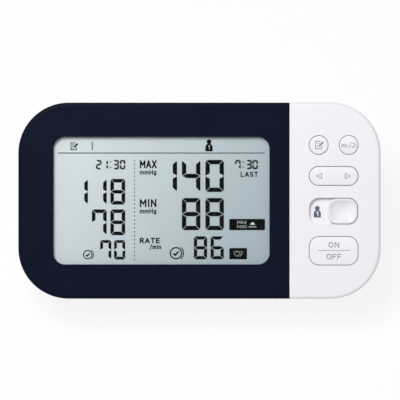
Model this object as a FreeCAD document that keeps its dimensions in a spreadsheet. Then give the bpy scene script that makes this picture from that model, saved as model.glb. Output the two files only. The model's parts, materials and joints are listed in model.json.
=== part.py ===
import FreeCAD, Part
import math
import os
from types import SimpleNamespace

import Sketcher
from FreeCAD import Vector

# Upper-arm blood pressure monitor for the home: a wedge-shaped housing that stands on four feet.
# Millimetres and degrees. X runs to the right, Y to the back, Z up. The origin is on the table,
# under the middle of the whole form. "Face" sizes are laid out on the sloping front: x to the
# right, y up the slope, z out of it, all from the middle of the face.

SIZES = {
    # Whole form
    "face_width": 191.0,
    "face_height": 103.4,
    "face_corner": 26.6,
    "edge_round": 1.7,
    "tilt": 30.0,
    "face_lift": 60.1,
    "rim_depth": 16.0,
    "side_draft": 4.0,
    "end_draft": 10.5,
    "wall": 2.4,
    "floor_plate": 2.2,
    "base_gap": 1.2,
    "base_round": 4.0,
    "lip_wall": 1.2,
    "lip_height": 2.0,
    "lip_gap": 0.15,
    "lip_tongue": 0.85,
    "parting_bevel": 0.35,
    "overrun": 1.0,
    # Display side of the face
    "control_width": 48.05,
    "seam_gap": 0.1,
    "panel_plate": 1.6,
    "panel_skirt": 6.0,
    "panel_gap": 0.1,
    "panel_edge": 0.25,
    "deck_plate": 1.2,
    "cavity_step": 8.0,
    "window_inset": 10.55,
    "window_width": 113.8,
    "window_height": 67.2,
    "window_corner": 6.0,
    "window_gap": 0.05,
    "window_sink": 0.15,
    "window_flange": 3.0,
    "window_flange_plate": 0.8,
    "window_flange_gap": 0.3,
    "gasket_plate": 0.6,
    "gasket_margin": 0.8,
    "glass_margin": 2.0,
    "glass_plate": 2.8,
    "glass_step": 1.2,
    "holder_wall": 1.8,
    "holder_gap": 0.2,
    "holder_ledge": 5.0,
    "strip_width": 2.4,
    "strip_inset": 2.6,
    "strip_end": 6.0,
    "strip_gap": 0.1,
    # Control side of the face
    "control_plate": 2.5,
    "key_inset": 24.75,
    "key_width": 26.1,
    "key_gap": 0.28,
    "key_rise": 0.3,
    "key_edge": 0.3,
    "hole_edge": 0.15,
    "key_flange": 0.9,
    "key_flange_plate": 1.0,
    "key_flange_gap": 0.1,
    "key_stem": 2.0,
    "round_key": 5.15,
    "round_key_y": 29.3,
    "start_y": -26.45,
    "start_height": 15.4,
    "start_corner": 5.4,
    "rocker_y": 13.0,
    "rocker_height": 10.3,
    "rocker_plate": 3.2,
    "rocker_leg": 1.5,
    "rocker_leg_x": 9.0,
    "rocker_leg_gap": 0.45,
    "pivot_depth": 4.2,
    "pivot_lug": 1.8,
    "pin_radius": 0.8,
    "pin_gap": 0.05,
    "ear_width": 5.0,
    "ear_plate": 2.0,
    "ear_gap": 0.3,
    "ear_foot": 1.8,
    "switch_y": -5.55,
    "switch_width": 25.8,
    "switch_height": 14.0,
    "switch_corner": 5.3,
    "switch_depth": 2.6,
    "tub_wall": 2.2,
    "tub_floor": 1.5,
    "knob_width": 15.8,
    "knob_gap": 0.3,
    "knob_rise": 0.4,
    "knob_floor_gap": 0.15,
    "knob_edge": 0.4,
    "dish_depth": 1.0,
    "dish_margin": 1.4,
    "dish_slope": 0.55,
    "tongue_length": 8.0,
    "tongue_reach": 0.75,
    "tongue_plate": 1.1,
    "tongue_gap": 0.15,
    "magnet_radius": 2.0,
    "magnet_plate": 1.2,
    "magnet_gap": 0.05,
    "sensor_leg": 0.45,
    "sensor_leg_pitch": 1.27,
    "sensor_width": 4.0,
    "sensor_depth": 1.6,
    "sensor_height": 3.0,
    "sensor_gap": 0.6,
    # Circuit board and what stands on it
    "board_depth": 12.5,
    "board_plate": 1.6,
    "board_left_inset": 8.5,
    "board_right_inset": 6.5,
    "board_top_inset": 15.7,
    "board_low_inset": 18.7,
    "board_corner": 8.0,
    "board_notch_gap": 0.5,
    "board_boss": 2.4,
    "board_screw": 0.9,
    "board_screw_gap": 0.05,
    "board_screw_hole": 1.2,
    "board_screw_head": 2.0,
    "board_screw_head_plate": 1.5,
    "board_screw_length": 6.0,
    "left_screw_inset": 11.5,
    "left_screw_y": -16.0,
    "middle_screw_inset": 1.45,
    "middle_screw_low_y": -28.0,
    "middle_screw_high_y": 31.0,
    "right_screw_inset": 9.5,
    "right_screw_y": 6.0,
    "tact_side": 6.2,
    "tact_height": 3.5,
    "plunger_side": 3.0,
    "plunger_gap": 0.08,
    "plunger_rise": 1.0,
    "plunger_sunk": 1.6,
    "plunger_well": 2.8,
    "pressure_side": 9.0,
    "pressure_height": 4.0,
    "buzzer_x": 20.0,
    "buzzer_y": -14.0,
    "buzzer_radius": 6.0,
    "buzzer_height": 4.5,
    "buzzer_port": 1.2,
    "chip_x": -16.0,
    "chip_y": 4.0,
    "chip_side": 14.0,
    "chip_height": 1.4,
    "capacitor_inset": 16.55,
    "capacitor_y": -20.0,
    "capacitor_pitch": 11.0,
    "capacitor_radius": 4.0,
    "capacitor_height": 11.0,
    "radio_inset": 14.55,
    "radio_y": 22.0,
    "radio_width": 12.0,
    "radio_length": 17.0,
    "radio_height": 2.4,
    # Screws that close the housing
    "post_radius": 3.6,
    "front_post_inset": 23.5,
    "front_post_rise": 9.7,
    "rear_post_inset": 9.5,
    "rear_post_y": 21.0,
    "post_web": 3.0,
    "well_radius": 2.8,
    "screw_radius": 1.35,
    "screw_gap": 0.05,
    "screw_hole_gap": 0.25,
    "screw_head": 2.4,
    "screw_head_plate": 1.8,
    "screw_bite": 5.0,
    # Battery bay and its cover
    "bay_x": 30.0,
    "bay_inset": 16.56,
    "leaf_depth": 6.9,
    "bay_side_gap": 0.85,
    "bay_top_gap": 0.7,
    "bay_roof": 1.8,
    "bay_wall": 3.75,
    "bay_front_wall": 6.25,
    "cover_margin_x": 2.0,
    "cover_margin_y": 2.5,
    "cover_corner": 2.0,
    "cover_seat": 2.1,
    "cover_plate": 2.0,
    "cover_gap": 0.3,
    "tab_x": 15.0,
    "tab_width": 6.0,
    "tab_reach": 1.7,
    "tab_root": 2.0,
    "tab_plate": 1.4,
    "tab_gap": 0.25,
    "tab_slot_gap": 0.6,
    "tab_slot_height": 3.2,
    "latch_width": 16.0,
    "latch_length": 9.0,
    "latch_slit": 1.0,
    "grip_width": 11.0,
    "grip_height": 0.9,
    "grip_pitch": 2.0,
    "grip_depth": 0.5,
    "finger_width": 18.0,
    "finger_length": 4.5,
    "finger_depth": 1.3,
    "cell_radius": 7.15,
    "cell_length": 49.2,
    "cell_nub": 1.3,
    "cell_nub_radius": 2.7,
    "cell_gap": 0.7,
    "cell_rest": 3.9,
    "contact_plate": 0.5,
    "contact_width": 9.0,
    "contact_height": 9.0,
    "contact_gap": 0.05,
    # Feet
    "foot_radius": 5.0,
    "foot_sunk": 0.8,
    "foot_gap": 0.1,
    "foot_edge": 0.4,
    "front_foot_side_inset": 15.5,
    "front_foot_inset": 19.56,
    "rear_foot_side_inset": 23.5,
    "rear_foot_inset": 13.69,
    # Pump
    "pump_nipple_inset": 3.6,
    "pump_gap": 2.2,
    "saddle_plate": 1.65,
    "head_length": 20.0,
    "head_side": 27.0,
    "head_round": 2.5,
    "head_seam": 0.6,
    "head_seam_at": 8.0,
    "motor_radius": 12.0,
    "motor_length": 30.0,
    "motor_edge": 1.5,
    "motor_boss": 4.5,
    "motor_boss_length": 2.0,
    "motor_shaft": 1.0,
    "motor_shaft_length": 1.5,
    "cushion_wall": 2.4,
    "cushion_start": 6.0,
    "cushion_length": 18.0,
    "cushion_gap": 0.05,
    "saddle_rib": 3.0,
    "saddle_gap": 0.1,
    "clamp_plate": 2.0,
    "clamp_inset": 2.0,
    "clamp_boss": 3.0,
    "clamp_head_gap": 0.15,
    "clamp_screw": 1.1,
    "clamp_screw_hole": 1.3,
    "clamp_screw_head": 2.0,
    "clamp_screw_head_plate": 1.6,
    "clamp_screw_length": 9.0,
    # Air path
    "pump_tube_length": 9.0,
    "pump_nipple_rise": 9.4,
    "jack_sink": 0.8,
    "jack_barrel_length": 5.3,
    "jack_barrel": 7.0,
    "jack_barrel_gap": 0.1,
    "jack_boss": 9.6,
    "jack_flange": 9.0,
    "jack_flange_plate": 2.0,
    "jack_body": 6.0,
    "jack_length": 20.0,
    "jack_bore": 3.2,
    "jack_bore_depth": 12.0,
    "jack_chamber": 2.0,
    "jack_end_wall": 1.5,
    "jack_lead": 0.6,
    "branch_depth": 16.3,
    "nipple_radius": 1.5,
    "nipple_bore": 0.8,
    "nipple_length": 4.0,
    "tube_radius": 3.0,
    "tube_gap": 0.05,
    "tube_bend": 8.0,
    "knee_rise": 5.5,
    "valve_width": 16.0,
    "valve_length": 14.0,
    "valve_height": 11.0,
    "valve_yoke": 1.2,
    "valve_rim": 2.0,
    "valve_rim_height": 4.0,
    "valve_gap": 0.2,
    # Mains socket
    "mains_inset": 31.5,
    "mains_z": 29.0,
    "mains_sink": 2.25,
    "mains_barrel_length": 4.6,
    "mains_boss": 8.4,
    "mains_barrel": 5.2,
    "mains_recess": 6.6,
    "mains_gap": 0.1,
    "mains_flange": 13.0,
    "mains_flange_plate": 1.6,
    "mains_body": 9.0,
    "mains_length": 15.0,
    "mains_bore": 2.8,
    "mains_bore_depth": 10.0,
    "mains_pin": 1.0,
    "mains_pin_length": 9.0,
}

# Profile of a negative battery contact: shares of its depth from the wall and of its height.
LEAF_SHARES = (
    (0.0, 0.0),
    (0.0, 1.0),
    (0.08, 1.0),
    (1.0, 0.55),
    (1.0, 0.45),
    (0.3, 0.1),
    (0.26, 0.14),
    (0.9, 0.5),
    (0.08, 0.9),
    (0.08, 0.0),
)

SHEET_NAME = "Sizes"
NEAR = 1e-4
SIDES = (-1, 1)
CELL_COUNT = 4

doc = FreeCAD.newDocument("pressure_monitor")


class Size:
    """A number from the sheet, kept with the formula that binds it."""

    def __init__(self, value, text):
        self.value = value
        self.text = text

    def joined(self, sign, other, value):
        return Size(value, f"({self.text} {sign} {other.text})")

    def __add__(self, other):
        other = as_size(other)
        return self.joined("+", other, self.value + other.value)

    def __sub__(self, other):
        other = as_size(other)
        return self.joined("-", other, self.value - other.value)

    def __mul__(self, other):
        other = as_size(other)
        return self.joined("*", other, self.value * other.value)

    def __truediv__(self, other):
        other = as_size(other)
        return self.joined("/", other, self.value / other.value)

    def __rmul__(self, other):
        return as_size(other) * self

    def __neg__(self):
        return as_size(0) - self

    @property
    def half(self):
        return self / 2

    @property
    def twice(self):
        return self * 2


def as_size(number):
    return number if isinstance(number, Size) else Size(float(number), str(number))


def sine(angle):
    return Size(math.sin(math.radians(angle.value)), f"sin({angle.text})")


def cosine(angle):
    return Size(math.cos(math.radians(angle.value)), f"cos({angle.text})")


def tangent(angle):
    return Size(math.tan(math.radians(angle.value)), f"tan({angle.text})")


def fill_sheet():
    """Write every driving size to the sheet and hand them back by name."""
    sheet = doc.addObject("Spreadsheet::Sheet", SHEET_NAME)
    sizes = SimpleNamespace()
    for row, (name, value) in enumerate(SIZES.items(), start=1):
        sheet.set(f"A{row}", name)
        sheet.set(f"B{row}", str(value))
        sheet.setAlias(f"B{row}", name)
        setattr(sizes, name, Size(value, f"{SHEET_NAME}.{name}"))
    doc.recompute()
    return sizes


size = fill_sheet()
ZERO = as_size(0)
SQUARE = as_size(90)


def face_middle_y():
    """Y of the middle of the face, so that the form stands evenly about the origin."""
    half = size.face_height.half
    lean = size.tilt - size.end_draft
    edge = size.edge_round
    front = (half - edge) * cosine(size.tilt) - edge * sine(size.tilt) + edge
    drop = size.face_lift + half * sine(size.tilt) - size.rim_depth * cosine(size.tilt) - size.base_gap
    corner = half * cosine(size.tilt) + size.rim_depth * sine(size.tilt) + drop * tangent(lean)
    rear = corner + size.base_round - size.base_round / tangent((SQUARE - lean).half)
    return (front - rear).half


FACE_Y = face_middle_y()


def out_of_face(x, y, z):
    """Place in the room of a point given on the face."""
    x, y, z = as_size(x), as_size(y), as_size(z)
    across = FACE_Y + y * cosine(size.tilt) - z * sine(size.tilt)
    height = size.face_lift + y * sine(size.tilt) + z * cosine(size.tilt)
    return x, across, height


def bind(thing, name, value):
    thing.setExpression(name, as_size(value).text)


def placement_text(x, y, z, axis, angle):
    spot = "; ".join(as_size(value).text for value in (x, y, z))
    turn = "; ".join(str(part) for part in axis)
    return f"placement(vector({spot}); rotation(vector({turn}); {as_size(angle).text}))"


def new_body(label):
    body = doc.addObject("PartDesign::Body", label)
    body.Label = label
    body.AllowCompound = True
    return body


def turned_body(label, x, y, z, axis, angle):
    """A body with its own frame, turned about an axis and set down at a point."""
    body = new_body(label)
    body.setExpression("Placement", placement_text(x, y, z, axis, angle))
    return body


def face_body(label):
    """A body laid out on the sloping face."""
    return turned_body(label, *out_of_face(0, 0, 0), (1, 0, 0), size.tilt)


def attach(body, name, role):
    sketch = body.newObject("Sketcher::SketchObject", name)
    plane = next(feature for feature in body.Origin.OriginFeatures if feature.Role == role)
    sketch.AttachmentSupport = [(plane, "")]
    sketch.MapMode = "FlatFace"
    return sketch


def sketch_at(body, name, x=0, y=0, z=0, role="XY_Plane"):
    """A sketch whose own origin stands at a point of the body, parallel to one of its planes."""
    x, y, z = as_size(x), as_size(y), as_size(z)
    offset = {"XY_Plane": (x, y, z), "XZ_Plane": (x, z, -y), "YZ_Plane": (y, z, x)}[role]
    sketch = attach(body, name, role)
    for letter, value in zip("xyz", offset):
        bind(sketch, f"AttachmentOffset.Base.{letter}", value)
    return sketch


def sloping_sketch(body, name, x=0, y=0, z=0):
    """A sketch of an upright body, laid out on the sloping face."""
    sketch = attach(body, name, "XY_Plane")
    sketch.setExpression("AttachmentOffset", placement_text(*out_of_face(x, y, z), (1, 0, 0), size.tilt))
    return sketch


def hold(sketch, value, *place):
    """Add a driving dimension to a sketch and bind it."""
    kind, *ends = place
    index = sketch.addConstraint(Sketcher.Constraint(kind, *ends, value.value))
    name = f"size_{index}"
    sketch.renameConstraint(index, name)
    bind(sketch, f"Constraints.{name}", value)


def pin_point(sketch, geometry, point, x, y):
    """Fix a point of the sketch by its distances from the sketch's origin."""
    for kind, axis, value in (("DistanceX", -2, as_size(x)), ("DistanceY", -1, as_size(y))):
        if value.value == 0:
            sketch.addConstraint(Sketcher.Constraint("PointOnObject", geometry, point, axis))
        else:
            hold(sketch, value, kind, -1, 1, geometry, point)


def draw_circle(sketch, radius, x=0, y=0):
    x, y = as_size(x), as_size(y)
    index = sketch.addGeometry(Part.Circle(Vector(x.value, y.value), Vector(0, 0, 1), radius.value), False)
    pin_point(sketch, index, 3, x, y)
    hold(sketch, radius, "Radius", index)
    return sketch


def chain(sketch, pieces):
    """Add lines and arcs that follow one another and close the loop."""
    first = sketch.GeometryCount
    sketch.addGeometry(pieces, False)
    count = len(pieces)
    for step in range(count):
        following = first + (step + 1) % count
        round_join = isinstance(pieces[step], Part.ArcOfCircle) != isinstance(
            pieces[(step + 1) % count], Part.ArcOfCircle
        )
        kind = "Tangent" if round_join else "Coincident"
        sketch.addConstraint(Sketcher.Constraint(kind, first + step, 2, following, 1))
    return first


def arc(x, y, radius, start):
    """A quarter arc, counter-clockwise from a start angle in quarter turns."""
    circle = Part.Circle(Vector(x, y), Vector(0, 0, 1), radius)
    return Part.ArcOfCircle(circle, start * math.pi / 2, (start + 1) * math.pi / 2)


def line(start, end):
    return Part.LineSegment(Vector(*start), Vector(*end))


def draw_rounded(sketch, width, height, radius):
    """A rectangle with rounded corners about the sketch's origin."""
    inner_x, inner_y = width.half - radius, height.half - radius
    a, b, r = inner_x.value, inner_y.value, radius.value
    pieces = [
        line((-a, -b - r), (a, -b - r)),
        arc(a, -b, r, -1),
        line((a + r, -b), (a + r, b)),
        arc(a, b, r, 0),
        line((a, b + r), (-a, b + r)),
        arc(-a, b, r, 1),
        line((-a - r, b), (-a - r, -b)),
        arc(-a, -b, r, 2),
    ]
    first = chain(sketch, pieces)
    for step, kind in ((0, "Horizontal"), (2, "Vertical"), (4, "Horizontal"), (6, "Vertical")):
        sketch.addConstraint(Sketcher.Constraint(kind, first + step))
    for step in (3, 5, 7):
        sketch.addConstraint(Sketcher.Constraint("Equal", first + 1, first + step))
    sketch.addConstraint(Sketcher.Constraint("Symmetric", first + 1, 3, first + 5, 3, -1, 1))
    hold(sketch, radius, "Radius", first + 1)
    hold(sketch, inner_x.twice, "DistanceX", first + 7, 3, first + 1, 3)
    hold(sketch, inner_y.twice, "DistanceY", first + 1, 3, first + 3, 3)
    return sketch


def draw_outline(sketch, points):
    """A closed outline of straight lines through points measured from the sketch's origin."""
    points = [(as_size(x), as_size(y)) for x, y in points]
    spots = [(x.value, y.value) for x, y in points]
    count = len(spots)
    pieces = [line(spots[step], spots[(step + 1) % count]) for step in range(count)]
    first = chain(sketch, pieces)
    for step, (x, y) in enumerate(points):
        pin_point(sketch, first + step, 1, x, y)
    return sketch


def draw_box(sketch, width, height, x=0, y=0):
    """A rectangle with square corners about a point."""
    left, right = as_size(x) - width.half, as_size(x) + width.half
    low, high = as_size(y) - height.half, as_size(y) + height.half
    return draw_outline(sketch, [(left, low), (right, low), (right, high), (left, high)])


def draw_pill(sketch, length, height):
    """A bar with fully round ends about the sketch's origin."""
    reach, radius = (length - height).half, height.half
    a, r = reach.value, radius.value
    right = Part.Circle(Vector(a, 0), Vector(0, 0, 1), r)
    left = Part.Circle(Vector(-a, 0), Vector(0, 0, 1), r)
    pieces = [
        line((-a, -r), (a, -r)),
        Part.ArcOfCircle(right, -math.pi / 2, math.pi / 2),
        line((a, r), (-a, r)),
        Part.ArcOfCircle(left, math.pi / 2, 3 * math.pi / 2),
    ]
    first = chain(sketch, pieces)
    sketch.addConstraint(Sketcher.Constraint("Horizontal", first))
    sketch.addConstraint(Sketcher.Constraint("Symmetric", first + 1, 3, first + 3, 3, -1, 1))
    hold(sketch, radius, "Radius", first + 1)
    hold(sketch, reach.twice, "DistanceX", first + 3, 3, first + 1, 3)
    return sketch


def draw_end(sketch, cut, inset, side):
    """One end of the face's outline, straight along a cut and drawn in by an inset elsewhere."""
    far = side * (size.face_width.half - inset)
    high = size.face_height.half - inset
    radius = size.face_corner - inset
    x, f, h, r = as_size(cut).value, far.value, high.value, radius.value
    bend = f - side * r
    if side > 0:
        pieces = [line((x, -h), (bend, -h)), arc(bend, -h + r, r, -1), line((f, -h + r), (f, h - r))]
        pieces += [arc(bend, h - r, r, 0), line((bend, h), (x, h)), line((x, h), (x, -h))]
    else:
        pieces = [line((x, h), (bend, h)), arc(bend, h - r, r, 1), line((f, h - r), (f, -h + r))]
        pieces += [arc(bend, -h + r, r, 2), line((bend, -h), (x, -h)), line((x, -h), (x, h))]
    first = chain(sketch, pieces)
    for step, kind in ((0, "Horizontal"), (2, "Vertical"), (4, "Horizontal")):
        sketch.addConstraint(Sketcher.Constraint(kind, first + step))
    sketch.addConstraint(Sketcher.Constraint("Equal", first + 1, first + 3))
    hold(sketch, radius, "Radius", first + 1)
    pin_point(sketch, first, 1, cut, -side * high)
    pin_point(sketch, first + 5, 1, cut, side * high)
    hold(sketch, far, "DistanceX", -1, 1, first + 2, 1)
    return sketch


def bulk(body):
    return body.Tip.Shape.Volume if body.Tip else 0


def settle(body, before, grows):
    """Work out the newest feature and see that it added or removed what it should."""
    doc.recompute()
    change = bulk(body) - before
    if (change > NEAR) != grows or abs(change) < NEAR:
        raise ValueError(f"{body.Label}: {body.Tip.Label} changed the bulk by {change}")
    return body


def extrude(kind, body, sketch, length, reverse, grows):
    before = bulk(body)
    feature = body.newObject(f"PartDesign::{kind}", f"{sketch.Name}_{kind.lower()}")
    feature.Profile = sketch
    bind(feature, "Length", length)
    feature.Reversed = reverse
    return settle(body, before, grows)


def pad(body, sketch, length, back=False):
    """Add material from the sketch along its normal, or the other way."""
    return extrude("Pad", body, sketch, length, back, True)


def pocket(body, sketch, length, up=False):
    """Remove material against the sketch's normal, or along it."""
    return extrude("Pocket", body, sketch, length, up, False)


def soften(body, radius, chosen, kind="Fillet"):
    """Round or bevel the edges that a test picks out."""
    tip = body.Tip
    names = [f"Edge{number}" for number, edge in enumerate(tip.Shape.Edges, start=1) if chosen(edge)]
    if not names:
        raise ValueError(f"{body.Label}: no edge to soften")
    feature = body.newObject(f"PartDesign::{kind}", f"{tip.Name}_soft")
    feature.Base = (tip, names)
    bind(feature, "Radius" if kind == "Fillet" else "Size", radius)
    doc.recompute()
    if "Invalid" in feature.State or feature.Shape.isNull():
        raise ValueError(f"{body.Label}: {feature.Label} could not be softened")
    return body


def level(edge, height):
    """True for an edge that lies flat at a height of its body."""
    box = edge.BoundBox
    return abs(box.ZMin - height.value) < NEAR and abs(box.ZMax - height.value) < NEAR


def flat_edges(height):
    height = as_size(height)
    return lambda edge: level(edge, height)


def within(edge, x, y, reach_x, reach_y):
    """True for an edge that stays inside a rectangle seen from above."""
    box = edge.BoundBox
    inside_x = box.XMin > (x - reach_x).value and box.XMax < (x + reach_x).value
    return inside_x and box.YMin > (y - reach_y).value and box.YMax < (y + reach_y).value


def post_spots():
    """Face places of the four screws that close the housing."""
    for side in SIDES:
        yield side * FRONT_POST_X, FRONT_POST_Y
        yield side * REAR_POST_X, size.rear_post_y


def board_screw_spots():
    middle_x = SEAM_X - size.middle_screw_inset
    yield size.left_screw_inset - HALF_WIDTH, size.left_screw_y
    yield middle_x, size.middle_screw_low_y
    yield middle_x, size.middle_screw_high_y
    yield HALF_WIDTH - size.right_screw_inset, size.right_screw_y


def front_wall(z):
    """Y of the outside of the front wall at a height."""
    x, y, top = out_of_face(0, -size.face_height.half, -size.rim_depth)
    return y + (top - z) * tangent(size.tilt + size.end_draft)


def rear_wall(z):
    """Y of the outside of the rear wall at a height."""
    x, y, top = out_of_face(0, size.face_height.half, -size.rim_depth)
    return y + (top - z) * tangent(size.tilt - size.end_draft)


def depth_below_face(y, z):
    return (y - FACE_Y) * sine(size.tilt) + (size.face_lift - z) * cosine(size.tilt)


def left_wall(y, z):
    """X of the outside of the left wall at a place seen from the side."""
    return (depth_below_face(y, z) - size.rim_depth) * tangent(size.side_draft) - HALF_WIDTH


HALF_WIDTH = size.face_width.half
SEAM_X = HALF_WIDTH - size.control_width
KEY_X = HALF_WIDTH - size.key_inset
WINDOW_X = SEAM_X - size.window_inset - size.window_width.half
FRONT_POST_X = HALF_WIDTH - size.front_post_inset
FRONT_POST_Y = size.front_post_rise - size.face_height.half
REAR_POST_X = HALF_WIDTH - size.rear_post_inset
BACK_REACH = size.face_height + size.face_lift
ROUND_KEY_REACH = size.key_width.half - size.round_key
MEMORY_X = KEY_X - ROUND_KEY_REACH
CONNECTION_X = KEY_X + ROUND_KEY_REACH
DECK_TOP = size.panel_plate + size.panel_gap
DECK_UNDERSIDE = DECK_TOP + size.deck_plate
GLASS_TOP = size.panel_plate + size.window_flange_plate + size.gasket_plate
GLASS_WIDTH = size.window_width + size.glass_margin.twice
GLASS_HEIGHT = size.window_height + size.glass_margin.twice
TACT_TOP = size.board_depth - size.tact_height
STEM_END = TACT_TOP - size.plunger_rise
TUB_UNDERSIDE = size.switch_depth + size.tub_floor
KNOB_TRAVEL = size.switch_width - size.knob_width - size.knob_gap.twice
KNOB_X = KEY_X + KNOB_TRAVEL.half
BOARD_UNDERSIDE = size.board_depth + size.board_plate
FLOOR_TOP = size.base_gap + size.floor_plate
SADDLE_RADIUS = size.motor_radius + size.cushion_gap + size.cushion_wall
BAND_RADIUS = SADDLE_RADIUS + size.saddle_gap + size.clamp_plate
CLAMP_SCREW_Y = BAND_RADIUS + size.clamp_screw_head + size.clamp_head_gap
SADDLE_HALF = CLAMP_SCREW_Y + size.clamp_boss
PUMP_Z = FLOOR_TOP + size.saddle_plate + size.saddle_gap + SADDLE_RADIUS
PUMP_Y = rear_wall(PUMP_Z) - size.wall - size.pump_gap - SADDLE_HALF
JACK_Z = PUMP_Z + size.pump_nipple_rise
JACK_Y = PUMP_Y - size.head_side.half - size.pump_tube_length - size.jack_body
JACK_FACE = left_wall(JACK_Y, JACK_Z) + size.jack_sink
JACK_SEAT = JACK_FACE + size.jack_barrel_length
BRANCH_X = JACK_FACE + size.branch_depth
PUMP_X = BRANCH_X - size.pump_nipple_inset
KNEE_Z = JACK_Z + size.jack_body + size.knee_rise
PRESSURE_Y = (JACK_Y - FACE_Y) * cosine(size.tilt) + (KNEE_Z - size.face_lift) * sine(size.tilt)
MAINS_X = HALF_WIDTH - size.mains_inset
MAINS_FACE = rear_wall(size.mains_z) - size.mains_sink
MAINS_SEAT = MAINS_FACE - size.mains_barrel_length
CELL_Z = size.cell_rest + size.cell_radius
CELL_PITCH = size.cell_radius.twice + size.cell_gap
CELL_REACH = size.cell_length + size.cell_nub
BAY_FRONT = front_wall(size.base_gap) + size.bay_inset
BAY_LENGTH = CELL_REACH + size.contact_plate + size.contact_gap.twice + size.leaf_depth
BAY_WIDTH = (CELL_COUNT - 1) * CELL_PITCH + (size.cell_radius + size.bay_side_gap).twice
BAY_TOP = CELL_Z + size.cell_radius + size.bay_top_gap
BAY_REAR = BAY_FRONT + BAY_LENGTH
COVER_WIDTH = BAY_WIDTH + size.cover_margin_x.twice
COVER_LENGTH = BAY_LENGTH + size.cover_margin_y.twice
COVER_FRONT = BAY_FRONT - size.cover_margin_y
COVER_REAR = BAY_REAR + size.cover_margin_y
COVER_Y = (COVER_FRONT + COVER_REAR).half
CUSHION_X = PUMP_X + size.head_length + size.cushion_start
CUSHION_MIDDLE = CUSHION_X + size.cushion_length.half


def cut_key_holes(body):
    """Openings for the keys, with their rims eased."""
    above = size.overrun
    depth = size.control_plate + above.twice
    for x in (MEMORY_X, CONNECTION_X):
        sketch = sketch_at(body, "round_hole", x, size.round_key_y, above)
        pocket(body, draw_circle(sketch, size.round_key), depth)
    sketch = sketch_at(body, "rocker_hole", KEY_X, size.rocker_y, above)
    pocket(body, draw_pill(sketch, size.key_width, size.rocker_height), depth)
    sketch = sketch_at(body, "start_hole", KEY_X, size.start_y, above)
    pocket(body, draw_rounded(sketch, size.key_width, size.start_height, size.start_corner), depth)


def add_switch_tub(body):
    """Closed tub below the face, with an undercut along each long side for the knob's tongues."""
    outer_width = size.switch_width + size.tub_wall.twice
    outer_height = size.switch_height + size.tub_wall.twice
    root = size.control_plate - size.overrun
    sketch = sketch_at(body, "tub", KEY_X, size.switch_y, -TUB_UNDERSIDE)
    draw_rounded(sketch, outer_width, outer_height, size.switch_corner + size.tub_wall)
    pad(body, sketch, TUB_UNDERSIDE - root)
    sketch = sketch_at(body, "tub_hollow", KEY_X, size.switch_y, size.overrun)
    draw_rounded(sketch, size.switch_width, size.switch_height, size.switch_corner)
    pocket(body, sketch, size.switch_depth + size.overrun)
    groove = size.knob_floor_gap + size.tongue_plate + size.tongue_gap
    sketch = sketch_at(body, "tub_groove", KEY_X, size.switch_y, -size.switch_depth)
    length = KNOB_TRAVEL + size.tongue_length + size.knob_gap.twice
    draw_box(sketch, length, size.switch_height + size.tongue_reach.twice)
    pocket(body, sketch, groove, up=True)


def add_rocker_ears(body):
    """Two ears below the face that carry the rocker's pin."""
    foot = size.pivot_depth + size.ear_foot
    reach = size.rocker_height.half + size.ear_gap + size.ear_plate.half
    for side in SIDES:
        sketch = sketch_at(body, "ear", KEY_X, size.rocker_y + side * reach, -foot)
        draw_box(sketch, size.ear_width, size.ear_plate)
        pad(body, sketch, foot - size.control_plate + size.overrun)
    end = reach + size.ear_plate
    sketch = sketch_at(body, "ear_bore", KEY_X, size.rocker_y + end, -size.pivot_depth, "XZ_Plane")
    pocket(body, draw_circle(sketch, size.pin_radius + size.pin_gap), end.twice, up=True)


def add_front_posts(body):
    """Bosses for the board and for the screws that close the housing."""
    screws = list(board_screw_spots())
    for x, y in screws:
        right = x.value > SEAM_X.value
        root = (size.control_plate if right else DECK_UNDERSIDE) - size.overrun
        sketch = sketch_at(body, "board_boss", x, y, -size.board_depth)
        pad(body, draw_circle(sketch, size.board_boss), size.board_depth - root)
    for x, y in post_spots():
        root = (size.control_plate if x.value > SEAM_X.value else DECK_UNDERSIDE) - size.overrun
        sketch = sketch_at(body, "case_boss", x, y, -size.rim_depth)
        pad(body, draw_circle(sketch, size.post_radius), size.rim_depth - root)
    for x, y in screws:
        sketch = sketch_at(body, "board_pilot", x, y, -BOARD_UNDERSIDE)
        draw_circle(sketch, size.board_screw + size.board_screw_gap)
        pocket(body, sketch, size.board_screw_length + size.overrun, up=True)
    for x, y in post_spots():
        sketch = sketch_at(body, "case_pilot", x, y, -size.rim_depth)
        draw_circle(sketch, size.screw_radius + size.screw_gap)
        pocket(body, sketch, size.screw_bite + size.overrun, up=True)


def draw_face(sketch, inset):
    """The face's outline, drawn in by an inset."""
    width = size.face_width - inset.twice
    height = size.face_height - inset.twice
    return draw_rounded(sketch, width, height, size.face_corner - inset)


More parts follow.
